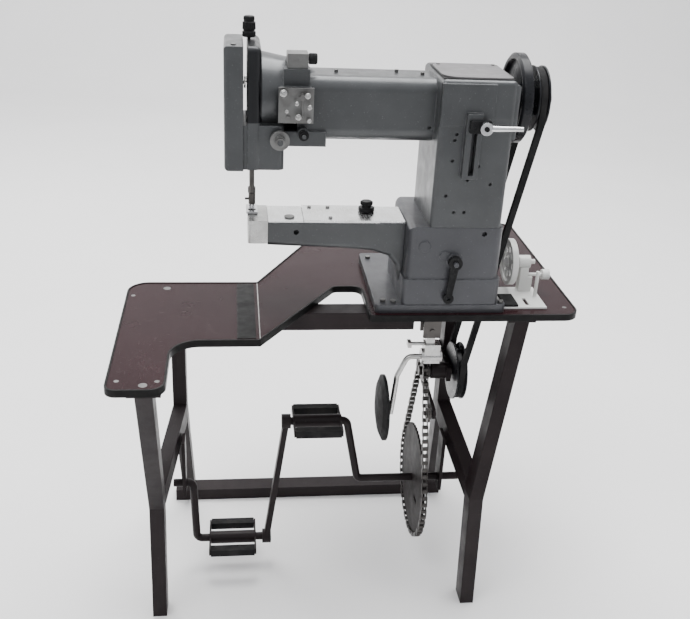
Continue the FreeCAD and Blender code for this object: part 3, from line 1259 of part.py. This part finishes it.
# ---------------------------------------------------------------- checks and export
doc.recompute()
os.makedirs("parts", exist_ok=True)
problems = []
for obj in doc.Objects:
    if "Invalid" in obj.State or "Error" in obj.State:
        problems.append("%s is %s" % (obj.Name, obj.State))
for node, obj in NODES:
    if obj.Shape.isNull() or not obj.Shape.isValid():
        problems.append("%s has a bad shape" % node)
    elif not obj.Shape.Solids:
        problems.append("%s has no solid" % node)
if problems:
    raise RuntimeError("; ".join(problems))
for node, obj in NODES:
    obj.Shape.exportStep("parts/%s.step" % node)
    box = obj.Shape.BoundBox
    print("%-20s solids %3d  volume %10.0f  x %.0f..%.0f  y %.0f..%.0f  z %.0f..%.0f"
          % (node, len(obj.Shape.Solids), obj.Shape.Volume, box.XMin, box.XMax, box.YMin, box.YMax,
             box.ZMin, box.ZMax))
print("nodes", len(NODES))
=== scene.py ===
"""Looks of the pedal-driven cylinder-arm sewing machine: materials, small pieces, light and camera."""
import math

import bmesh
import bpy
from mathutils import Matrix, Vector


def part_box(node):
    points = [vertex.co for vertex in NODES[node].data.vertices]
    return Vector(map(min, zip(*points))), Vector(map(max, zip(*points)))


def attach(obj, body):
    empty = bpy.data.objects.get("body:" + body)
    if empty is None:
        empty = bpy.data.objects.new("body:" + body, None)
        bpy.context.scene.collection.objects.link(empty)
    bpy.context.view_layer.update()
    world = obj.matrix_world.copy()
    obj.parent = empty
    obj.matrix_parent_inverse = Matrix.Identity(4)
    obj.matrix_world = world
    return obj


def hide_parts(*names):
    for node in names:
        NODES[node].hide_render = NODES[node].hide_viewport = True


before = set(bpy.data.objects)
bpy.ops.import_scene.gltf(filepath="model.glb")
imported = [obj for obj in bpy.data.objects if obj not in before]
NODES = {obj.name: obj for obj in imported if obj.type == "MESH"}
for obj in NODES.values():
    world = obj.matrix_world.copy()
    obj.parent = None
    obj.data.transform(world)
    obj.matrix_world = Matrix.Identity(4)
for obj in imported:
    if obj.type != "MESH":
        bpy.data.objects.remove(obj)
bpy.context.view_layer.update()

MM = 0.001


# ---------------------------------------------------------------- node helpers
class Graph:
    """A small helper for building one material's node tree."""

    def __init__(self, name):
        self.material = bpy.data.materials.new(name)
        self.material.use_nodes = True
        self.tree = self.material.node_tree
        self.shader = self.tree.nodes["Principled BSDF"]
        self.place = self.add("ShaderNodeTexCoord").outputs["Object"]

    def add(self, kind, **settings):
        node = self.tree.nodes.new(kind)
        for key, value in settings.items():
            setattr(node, key, value)
        return node

    def link(self, source, target):
        self.tree.links.new(source, target)

    def noise(self, scale, detail=4, rough=0.6, stretch=(1, 1, 1)):
        mapping = self.add("ShaderNodeMapping")
        mapping.inputs["Scale"].default_value = stretch
        self.link(self.place, mapping.inputs["Vector"])
        node = self.add("ShaderNodeTexNoise")
        node.inputs["Scale"].default_value = scale
        node.inputs["Detail"].default_value = detail
        node.inputs["Roughness"].default_value = rough
        self.link(mapping.outputs["Vector"], node.inputs["Vector"])
        return node.outputs["Fac"]

    def ramp(self, source, low, high, dark=0.0, light=1.0):
        node = self.add("ShaderNodeMapRange")
        node.inputs["From Min"].default_value = low
        node.inputs["From Max"].default_value = high
        node.inputs["To Min"].default_value = dark
        node.inputs["To Max"].default_value = light
        self.link(source, node.inputs["Value"])
        return node.outputs["Result"]

    def mix(self, factor, first, second):
        node = self.add("ShaderNodeMix", data_type="RGBA")
        self.link(factor, node.inputs["Factor"])
        for value, socket in ((first, node.inputs["A"]), (second, node.inputs["B"])):
            if isinstance(value, tuple):
                socket.default_value = (*value, 1.0)
            else:
                self.link(value, socket)
        return node.outputs["Result"]

    def math(self, operation, first, second):
        node = self.add("ShaderNodeMath", operation=operation, use_clamp=True)
        for value, socket in ((first, node.inputs[0]), (second, node.inputs[1])):
            if isinstance(value, (int, float)):
                socket.default_value = value
            else:
                self.link(value, socket)
        return node.outputs["Value"]

    def edges(self, radius):
        """0 on flat faces, rising towards 1 on outer edges."""
        bevel = self.add("ShaderNodeBevel", samples=6)
        bevel.inputs["Radius"].default_value = radius
        geometry = self.add("ShaderNodeNewGeometry")
        dot = self.add("ShaderNodeVectorMath", operation="DOT_PRODUCT")
        self.link(bevel.outputs["Normal"], dot.inputs[0])
        self.link(geometry.outputs["Normal"], dot.inputs[1])
        return self.ramp(dot.outputs["Value"], 0.99, 0.78)

    def surface(self, colour, roughness, height=None, strength=0.1, distance=0.001, bevel=0.0008):
        self.link(colour, self.shader.inputs["Base Color"])
        self.link(roughness, self.shader.inputs["Roughness"])
        soft = self.add("ShaderNodeBevel", samples=6)
        soft.inputs["Radius"].default_value = bevel
        normal = soft.outputs["Normal"]
        if height is not None:
            bump = self.add("ShaderNodeBump")
            bump.inputs["Strength"].default_value = strength
            bump.inputs["Distance"].default_value = distance
            self.link(height, bump.inputs["Height"])
            self.link(normal, bump.inputs["Normal"])
            normal = bump.outputs["Normal"]
        self.link(normal, self.shader.inputs["Normal"])
        return self.material


def painted(name, colour, shade, worn, rough=0.34, grain=900, wear=0.5, coat=0.0, bevel=0.0015,
            flake=0.0, shine=0.5):
    """Paint over metal: soft colour drift, orange-peel bump, dust, and rubbed edges."""
    g = Graph(name)
    drift = g.ramp(g.noise(9, 5), 0.35, 0.68)
    fine = g.noise(grain, 2)
    base = g.mix(drift, colour, shade)
    specks = g.ramp(g.noise(420, 3), 0.66, 0.74)
    base = g.mix(g.math("MULTIPLY", specks, 0.35), base, worn)
    rub = g.math("MULTIPLY", g.edges(0.0012), g.ramp(g.noise(130, 4), 0.46, 0.62))
    base = g.mix(g.math("MULTIPLY", rub, wear), base, worn)
    roughness = g.ramp(g.noise(34, 5), 0.3, 0.7, rough - 0.07, rough + 0.11)
    g.shader.inputs["Metallic"].default_value = flake
    g.shader.inputs["Specular IOR Level"].default_value = shine
    g.shader.inputs["Coat Weight"].default_value = coat
    g.shader.inputs["Coat Roughness"].default_value = 0.12
    return g.surface(base, roughness, fine, 0.07, 0.0006, bevel)


def bare_metal(name, colour, stain, rough=0.24, stretch=(1, 1, 1), scratch=60, bevel=0.0006):
    """Machined or plated metal with fine directional marks and faint stains."""
    g = Graph(name)
    g.shader.inputs["Metallic"].default_value = 1.0
    marks = g.noise(scratch * 12, 3, 0.5, stretch)
    blot = g.ramp(g.noise(26, 6), 0.42, 0.72)
    base = g.mix(blot, colour, stain)
    roughness = g.ramp(g.noise(scratch, 6, 0.7, stretch), 0.3, 0.7, rough - 0.08, rough + 0.14)
    return g.surface(base, roughness, marks, 0.05, 0.0004, bevel)


def rubbery(name, colour, dust, rough=0.62, grain=700):
    """Black rubber or hard plastic with a fine grain and a little dust."""
    g = Graph(name)
    cloud = g.ramp(g.noise(40, 5), 0.42, 0.75)
    base = g.mix(g.math("MULTIPLY", cloud, 0.5), colour, dust)
    edge = g.math("MULTIPLY", g.edges(0.0015), 0.35)
    base = g.mix(edge, base, dust)
    roughness = g.ramp(g.noise(60, 4), 0.3, 0.7, rough - 0.1, rough + 0.12)
    g.shader.inputs["Specular IOR Level"].default_value = 0.12
    return g.surface(base, roughness, g.noise(grain, 3), 0.12, 0.0006, 0.001)


def laminate(name):
    """Dark red-brown laminate: faint cloudy grain, wiped streaks and hairline scratches."""
    g = Graph(name)
    cloud = g.ramp(g.noise(5, 6, 0.62), 0.34, 0.7)
    base = g.mix(cloud, (0.0135, 0.0036, 0.0050), (0.0225, 0.0078, 0.0098))
    grain = g.ramp(g.noise(320, 4, 0.6, (1, 0.22, 1)), 0.5, 0.75)
    base = g.mix(g.math("MULTIPLY", grain, 0.3), base, (0.038, 0.018, 0.02))
    scratch = g.ramp(g.noise(70, 2, 0.4, (1, 14, 1)), 0.71, 0.76)
    base = g.mix(g.math("MULTIPLY", scratch, 0.25), base, (0.09, 0.065, 0.07))
    roughness = g.ramp(g.noise(12, 6), 0.3, 0.7, 0.14, 0.31)
    g.shader.inputs["Specular IOR Level"].default_value = 0.1
    return g.surface(base, roughness, grain, 0.05, 0.0004, 0.0006)


def head_enamel(name, colour, shade, worn, ring_low, ring_high, ring_floor):
    """Machine enamel, with painted shade: the flange behind the face cover is coloured near-black to stand
    for the shadow on it.
    """
    material = painted(name, colour, shade, worn, 0.36, 1100, 0.55, 0.15, 0.003, 0.5)
    tree = material.node_tree
    shader = tree.nodes["Principled BSDF"]
    colour_link = shader.inputs["Base Color"].links[0].from_socket
    place = tree.nodes.new("ShaderNodeTexCoord")
    split = tree.nodes.new("ShaderNodeSeparateXYZ")
    tree.links.new(place.outputs["Object"], split.inputs["Vector"])

    def step(socket, limit, operation):
        node = tree.nodes.new("ShaderNodeMath")
        node.operation = operation
        node.inputs[1].default_value = limit
        tree.links.new(socket, node.inputs[0])
        return node.outputs["Value"]

    def both(first, second):
        node = tree.nodes.new("ShaderNodeMath")
        node.operation = "MULTIPLY"
        tree.links.new(first, node.inputs[0])
        tree.links.new(second, node.inputs[1])
        return node.outputs["Value"]

    # Painted shade: the flange (ring_low to ring_high in x, above ring_floor) is coloured near-black to
    # stand for shadow.
    flange_shade_band = both(step(split.outputs["X"], ring_low, "GREATER_THAN"),
                step(split.outputs["X"], ring_high, "LESS_THAN"))
    flange_shade_band = both(flange_shade_band, step(split.outputs["Z"], ring_floor, "GREATER_THAN"))
    mix = tree.nodes.new("ShaderNodeMix")
    mix.data_type = "RGBA"
    tree.links.new(flange_shade_band, mix.inputs["Factor"])
    tree.links.new(colour_link, mix.inputs["A"])
    # Near-black colour of the painted shade on the flange.
    mix.inputs["B"].default_value = (0.005, 0.0055, 0.007, 1)
    tree.links.new(mix.outputs["Result"], shader.inputs["Base Color"])
    return material


# ---------------------------------------------------------------- materials
ARM_LOW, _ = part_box("arm_casting")
_, COVER_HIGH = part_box("face_cover")
# RING_LEFT, RING_WIDE and RING_RISE mark the flange that carries painted shade (near-black).
RING_LEFT = COVER_HIGH.x + 1 * MM
RING_WIDE = 26 * MM
RING_RISE = 152 * MM
ENAMEL_TONES = ((0.066, 0.069, 0.071), (0.047, 0.049, 0.051), (0.28, 0.29, 0.29))
ENAMEL = painted("enamel", *ENAMEL_TONES, 0.36, 1100, 0.5, 0.15, 0.0025, 0.5)
ARM_ENAMEL_AND_SHADE = head_enamel("arm_enamel_and_painted_shade", *ENAMEL_TONES, RING_LEFT, RING_LEFT + RING_WIDE,
                         ARM_LOW.z + RING_RISE)
# Painted shade: a darker copy of the machine enamel for the base casting and bed plate, standing for the
# shadow the arm casts on the bed.
SHADED_BASE_ENAMEL = painted("base_enamel_painted_shade", (0.056, 0.057, 0.063), (0.040, 0.041, 0.046), (0.23, 0.23, 0.24),
                      0.38, 1000, 0.5, 0.15, 0.0025, 0.35)
FRAME_PAINT = painted("frame_paint", (0.0105, 0.0070, 0.0078), (0.017, 0.0125, 0.013), (0.09, 0.075, 0.075),
                      0.40, 700, 0.35, 0.0, 0.0025, 0.0, 0.14)
RING_PAINT = painted("ring_paint", (0.022, 0.019, 0.019), (0.013, 0.011, 0.011), (0.12, 0.10, 0.09),
                     0.5, 600, 0.5, 0.0, 0.0015, 0.0, 0.08)
WHEEL_PAINT = painted("wheel_paint", (0.007, 0.0075, 0.009), (0.012, 0.0125, 0.015), (0.13, 0.13, 0.14),
                      0.28, 900, 0.35, 0.0, 0.002, 0.0, 0.2)
WHITE_PAINT = painted("white_paint", (0.66, 0.66, 0.64), (0.52, 0.52, 0.50), (0.22, 0.20, 0.18),
                      0.34, 800, 0.5, 0.15)
LID_PAINT = painted("lid_paint", (0.125, 0.12, 0.122), (0.095, 0.091, 0.093), (0.25, 0.24, 0.23),
                    0.42, 500, 0.3)
STEEL = bare_metal("steel", (0.50, 0.50, 0.49), (0.34, 0.33, 0.32), 0.27, (1, 8, 1))
PLATE_STEEL = bare_metal("plate_steel", (0.82, 0.83, 0.83), (0.66, 0.66, 0.64), 0.2, (14, 1, 1), 40)
GREY_STEEL = bare_metal("grey_steel", (0.20, 0.20, 0.195), (0.12, 0.116, 0.112), 0.33, (1, 1, 9))
DARK_STEEL = bare_metal("dark_steel", (0.085, 0.08, 0.076), (0.045, 0.041, 0.04), 0.38)
CHROME = bare_metal("chrome", (0.72, 0.72, 0.73), (0.5, 0.5, 0.5), 0.15)
RUBBER = rubbery("rubber", (0.0075, 0.0075, 0.008), (0.034, 0.032, 0.031))
TRIM = rubbery("trim_rubber", (0.004, 0.004, 0.004), (0.018, 0.017, 0.017), 0.42)
BLACK = rubbery("black_plastic", (0.006, 0.006, 0.0065), (0.034, 0.034, 0.034), 0.3, 500)
BELT = rubbery("belt_rubber", (0.009, 0.009, 0.0095), (0.032, 0.031, 0.03), 0.7, 1200)
TABLE = laminate("laminate")

FINISH = {
    TABLE: ["table_main", "table_shelf"],
    TRIM: ["edge_trim"],
    FRAME_PAINT: ["front_leg_left", "front_leg_right", "rear_leg_left", "rear_leg_right", "side_braces",
                  "upper_beam", "rear_crossbar", "crank_hangers", "drive_brackets", "crank_rods",
                  "crank_arm", "pedal_left_cage", "pedal_right_cage"],
    RUBBER: ["pedal_left_treads", "pedal_right_treads", "knee_pad"],
    RING_PAINT: ["chainring"],
    DARK_STEEL: ["drive_chain", "small_sprocket", "idler_sprocket", "countershaft", "needle_bar",
                 "presser_bar", "knee_bracket"],
    GREY_STEEL: ["tension_plate", "top_block", "tension_disc", "fasteners"],
    BELT: ["drive_belt"],
    WHEEL_PAINT: ["lower_pulley", "handwheel"],
    ARM_ENAMEL_AND_SHADE: ["arm_casting"],
    ENAMEL: ["cylinder_arm", "face_cover"],
    SHADED_BASE_ENAMEL: ["base_casting", "bed_plate"],
    LID_PAINT: ["top_cover"],
    STEEL: ["knee_arm", "knee_rod", "arm_tip_cap", "needle_plate", "hook", "main_shaft",
            "feed_dog", "take_up_lever"],
    PLATE_STEEL: ["arm_top_plates"],
    CHROME: ["needle", "presser_foot", "stitch_lever"],
    BLACK: ["arm_knob", "tension_knob", "block_knob", "pressure_knob", "base_lever", "stitch_slider"],
    WHITE_PAINT: ["winder_frame", "winder_wheel"],
}
for material, names in FINISH.items():
    for node_name in names:
        data = NODES[node_name].data
        data.materials.clear()
        data.materials.append(material)


# ---------------------------------------------------------------- turned pieces
def turned(name, start, axis, profile, material, body, steps=96):
    """A turned piece. The profile is a list of (distance along the axis, radius, knurl depth)."""
    rotation = Vector((0, 0, 1)).rotation_difference(Vector(axis)).to_matrix().to_4x4()
    mesh = bpy.data.meshes.new(name)
    bm = bmesh.new()
    rings = []
    for along, radius, knurl in profile:
        ring = []
        for index in range(steps):
            angle = 2 * math.pi * index / steps
            reach = radius - knurl * (index % 2)
            ring.append(bm.verts.new((reach * math.cos(angle), reach * math.sin(angle), along)))
        rings.append(ring)
    for lower, upper in zip(rings, rings[1:]):
        for index in range(steps):
            after = (index + 1) % steps
            bm.faces.new((lower[index], lower[after], upper[after], upper[index]))
    bm.faces.new(list(reversed(rings[0])))
    bm.faces.new(rings[-1])
    bmesh.ops.transform(bm, matrix=Matrix.Translation(start) @ rotation, verts=bm.verts)
    bm.to_mesh(mesh)
    bm.free()
    piece = bpy.data.objects.new(name, mesh)
    bpy.context.scene.collection.objects.link(piece)
    mesh.materials.append(material)
    for polygon in mesh.polygons:
        polygon.use_smooth = False
    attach(piece, body)
    return piece


def middle(node_name):
    low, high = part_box(node_name)
    return (low + high) / 2, low, high


def knurled(node_name, axis, profile, body, material=BLACK, steps=72):
    """Stands for a plain CAD knob: the same length and radius, with a knurled grip."""
    centre, low, high = middle(node_name)
    start = Vector(centre)
    index = max(range(3), key=lambda i: abs(axis[i]))
    start[index] = low[index] if axis[index] > 0 else high[index]
    length = high[index] - low[index]
    radius = (high[(index + 1) % 3] - low[(index + 1) % 3]) / 2
    points = [(length * a, radius * r, radius * k) for a, r, k in profile]
    piece = turned(node_name + "_turned", start, axis, points, material, body, steps)
    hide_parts(node_name)
    return piece


PRESSURE = [(0.0, 0.22, 0), (0.34, 0.22, 0), (0.34, 0.9, 0), (0.36, 1.0, 0.05), (0.50, 1.0, 0.05),
            (0.52, 0.86, 0), (0.56, 0.86, 0), (0.58, 0.99, 0.06), (0.80, 0.95, 0.06), (0.82, 0.78, 0),
            (0.86, 0.78, 0), (0.88, 0.84, 0.05), (0.97, 0.8, 0.05), (1.0, 0.6, 0)]
knurled("pressure_knob", (0, 0, 1), PRESSURE, "foot_pressure")
BLOCK = [(0.0, 0.36, 0), (0.62, 0.36, 0), (0.62, 0.86, 0), (0.65, 1.0, 0.07), (0.95, 1.0, 0.07),
         (1.0, 0.85, 0)]
knurled("block_knob", (1, 0, 0), BLOCK, "guide_knob")
PLATE = [(0.0, 0.3, 0), (0.5, 0.3, 0), (0.5, 0.95, 0), (0.52, 1.0, 0), (0.66, 1.0, 0), (0.69, 0.9, 0),
         (0.70, 0.6, 0), (0.80, 0.58, 0), (0.83, 0.78, 0.05), (0.95, 0.78, 0.05), (1.0, 0.6, 0)]
knurled("arm_knob", (0, 0, 1), PLATE, "plate_knob")

ROOT_BODY = "stand_and_head"


def stud(name, x, z, radius, material=STEEL, reach=4.0):
    """A round screw head with a stepped rim, standing on the tension plate."""
    low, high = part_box("tension_plate")
    start = Vector((x, low.y + 0.4 * MM, z))
    profile = [(0, radius, 0), (reach * MM * 0.5, radius, 0), (reach * MM * 0.62, radius * 0.9, 0),
               (reach * MM * 0.66, radius * 0.62, 0), (reach * MM, radius * 0.55, 0)]
    return turned(name, start, (0, -1, 0), profile, material, ROOT_BODY, 40)


PLATE_LOW, PLATE_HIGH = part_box("tension_plate")
STUDS = [(0.12, 0.90, 5.2), (0.80, 0.84, 4.2), (0.50, 0.62, 3.0), (0.86, 0.52, 3.4), (0.22, 0.40, 2.6),
         (0.55, 0.24, 4.4), (0.86, 0.14, 3.0)]
for index, (along, rise, radius) in enumerate(STUDS):
    stud("plate_stud_%d" % index, PLATE_LOW.x + (PLATE_HIGH.x - PLATE_LOW.x) * along,
         PLATE_LOW.z + (PLATE_HIGH.z - PLATE_LOW.z) * rise, radius * MM)


def slab(name, low, high, material, body=ROOT_BODY, rim=0.0006):
    """A thin cushion-edged pad filling the box from low to high."""
    mesh = bpy.data.meshes.new(name)
    bm = bmesh.new()
    bmesh.ops.create_cube(bm, size=1)
    for vertex in bm.verts:
        for axis in range(3):
            vertex.co[axis] = low[axis] if vertex.co[axis] < 0 else high[axis]
    bmesh.ops.bevel(bm, geom=bm.edges[:], offset=rim, segments=3, affect="EDGES", profile=0.6)
    bm.to_mesh(mesh)
    bm.free()
    piece = bpy.data.objects.new(name, mesh)
    bpy.context.scene.collection.objects.link(piece)
    mesh.materials.append(material)
    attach(piece, body)
    return piece


SHELF_LOW, SHELF_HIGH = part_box("table_shelf")
SURFACE = SHELF_HIGH.z
SEAM = SHELF_HIGH.x
STRIP_FRONT = SHELF_LOW.y + 145 * MM
STRIP_BACK = SHELF_HIGH.y - 3 * MM
STRIP_LIFT = 0.05 * MM
slab("seam_strip", (SEAM - 34 * MM, STRIP_FRONT, SURFACE + STRIP_LIFT),
     (SEAM - 6 * MM, STRIP_BACK, SURFACE + 0.75 * MM), TRIM, rim=0.0003)
slab("seam_edge", (SEAM - 0.7 * MM, STRIP_FRONT, SURFACE + STRIP_LIFT),
     (SEAM + 0.7 * MM, STRIP_BACK, SURFACE + 0.85 * MM), STEEL, rim=0.0003)

LID_LOW, LID_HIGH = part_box("top_cover")
slab("lid_gasket", (LID_LOW.x - 1.5 * MM, LID_LOW.y - 1.5 * MM, LID_LOW.z + 0.02 * MM),
     (LID_HIGH.x + 1.5 * MM, LID_HIGH.y + 1.5 * MM, LID_LOW.z + 0.9 * MM), TRIM, rim=0.0003)
FOOT_THICK = 3 * MM
WINDER_LOW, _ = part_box("winder_frame")
slab("winder_stop_pad", (WINDER_LOW.x + 2 * MM, WINDER_LOW.y + 2 * MM, WINDER_LOW.z + FOOT_THICK),
     (WINDER_LOW.x + 26 * MM, WINDER_LOW.y + 46 * MM, WINDER_LOW.z + FOOT_THICK + 4 * MM),
     RUBBER, rim=0.001)

# ---------------------------------------------------------------- floor, light and camera
floor_mesh = bpy.data.meshes.new("floor")
bm = bmesh.new()
FLOOR_HALF = 9.0
BACK = 5.0
outline = [(-3.0, 0.0), (BACK - 1.2, 0.0)]
for index in range(1, 13):
    angle = math.pi / 2 * index / 12
    outline.append((BACK - 1.2 + 1.2 * math.sin(angle), 1.2 - 1.2 * math.cos(angle)))
outline.append((BACK, 7.0))
columns = []
for y, z in outline:
    columns.append((bm.verts.new((-FLOOR_HALF, y, z)), bm.verts.new((FLOOR_HALF, y, z))))
for first, second in zip(columns, columns[1:]):
    bm.faces.new((first[0], first[1], second[1], second[0]))
bm.to_mesh(floor_mesh)
bm.free()
floor = bpy.data.objects.new("floor", floor_mesh)
bpy.context.scene.collection.objects.link(floor)
for polygon in floor_mesh.polygons:
    polygon.use_smooth = True
wall = Graph("floor_paint")
wall_tone = wall.mix(wall.ramp(wall.noise(1.2, 3), 0.3, 0.7), (0.84, 0.832, 0.825), (0.88, 0.872, 0.865))
floor_mesh.materials.append(wall.surface(wall_tone, wall.ramp(wall.noise(3, 3), 0.3, 0.7, 0.55, 0.7)))


def lamp(name, place, target, size, power, colour=(1, 1, 1)):
    data = bpy.data.lights.new(name, "AREA")
    data.shape = "RECTANGLE"
    data.size, data.size_y = size
    data.energy = power
    data.color = colour
    lamp_object = bpy.data.objects.new(name, data)
    bpy.context.scene.collection.objects.link(lamp_object)
    direction = Vector(target) - Vector(place)
    lamp_object.location = place
    lamp_object.rotation_euler = direction.to_track_quat("-Z", "Y").to_euler()


MIDDLE = (0, 0, 0.6)
lamp("key", (-1.3, -1.3, 3.0), MIDDLE, (1.6, 1.2), 30)
lamp("top", (0.2, 0.6, 3.1), MIDDLE, (2.4, 1.6), 120)
lamp("fill", (2.4, -1.6, 1.3), MIDDLE, (1.4, 1.8), 8)
lamp("back", (-1.6, 2.2, 1.9), MIDDLE, (1.2, 1.6), 22)
lamp("wall", (0.0, 2.4, 4.6), (0, 4.6, 1.2), (4.0, 1.5), 150)
world = bpy.data.worlds.new("studio")
bpy.context.scene.world = world
world.use_nodes = True
sky = world.node_tree
heading = sky.nodes.new("ShaderNodeTexCoord").outputs["Generated"]
parts = sky.nodes.new("ShaderNodeSeparateXYZ")
sky.links.new(heading, parts.inputs["Vector"])
brighter = sky.nodes.new("ShaderNodeMapRange")
brighter.inputs["From Min"].default_value = 0.0
brighter.inputs["From Max"].default_value = 0.9
brighter.inputs["To Min"].default_value = 0.62
brighter.inputs["To Max"].default_value = 1.35
sky.links.new(parts.outputs["Z"], brighter.inputs["Value"])
sky.links.new(brighter.outputs["Result"], sky.nodes["Background"].inputs["Strength"])
sky.nodes["Background"].inputs["Color"].default_value = (0.95, 0.965, 1.0, 1)

# The camera stands a little left of the needle and looks down on the machine.
CAMERA_PLACE = Vector((-0.1933, -1.3962, 1.1802))
YAW = math.radians(7.6)
PITCH = math.radians(-25.2)
ROLL = math.radians(3.0)
forward = Vector((math.sin(YAW) * math.cos(PITCH), math.cos(YAW) * math.cos(PITCH), math.sin(PITCH)))
level_right = Vector((math.cos(YAW), -math.sin(YAW), 0))
level_up = level_right.cross(forward)
right = level_right * math.cos(ROLL) + level_up * math.sin(ROLL)
up = level_up * math.cos(ROLL) - level_right * math.sin(ROLL)
camera_data = bpy.data.cameras.new("camera")
camera_data.sensor_width = 36
camera_data.lens = 47.81
camera = bpy.data.objects.new("camera", camera_data)
bpy.context.scene.collection.objects.link(camera)
turn = Matrix((right, up, -forward)).transposed().to_4x4()
camera.matrix_world = Matrix.Translation(CAMERA_PLACE) @ turn
bpy.context.scene.camera = camera
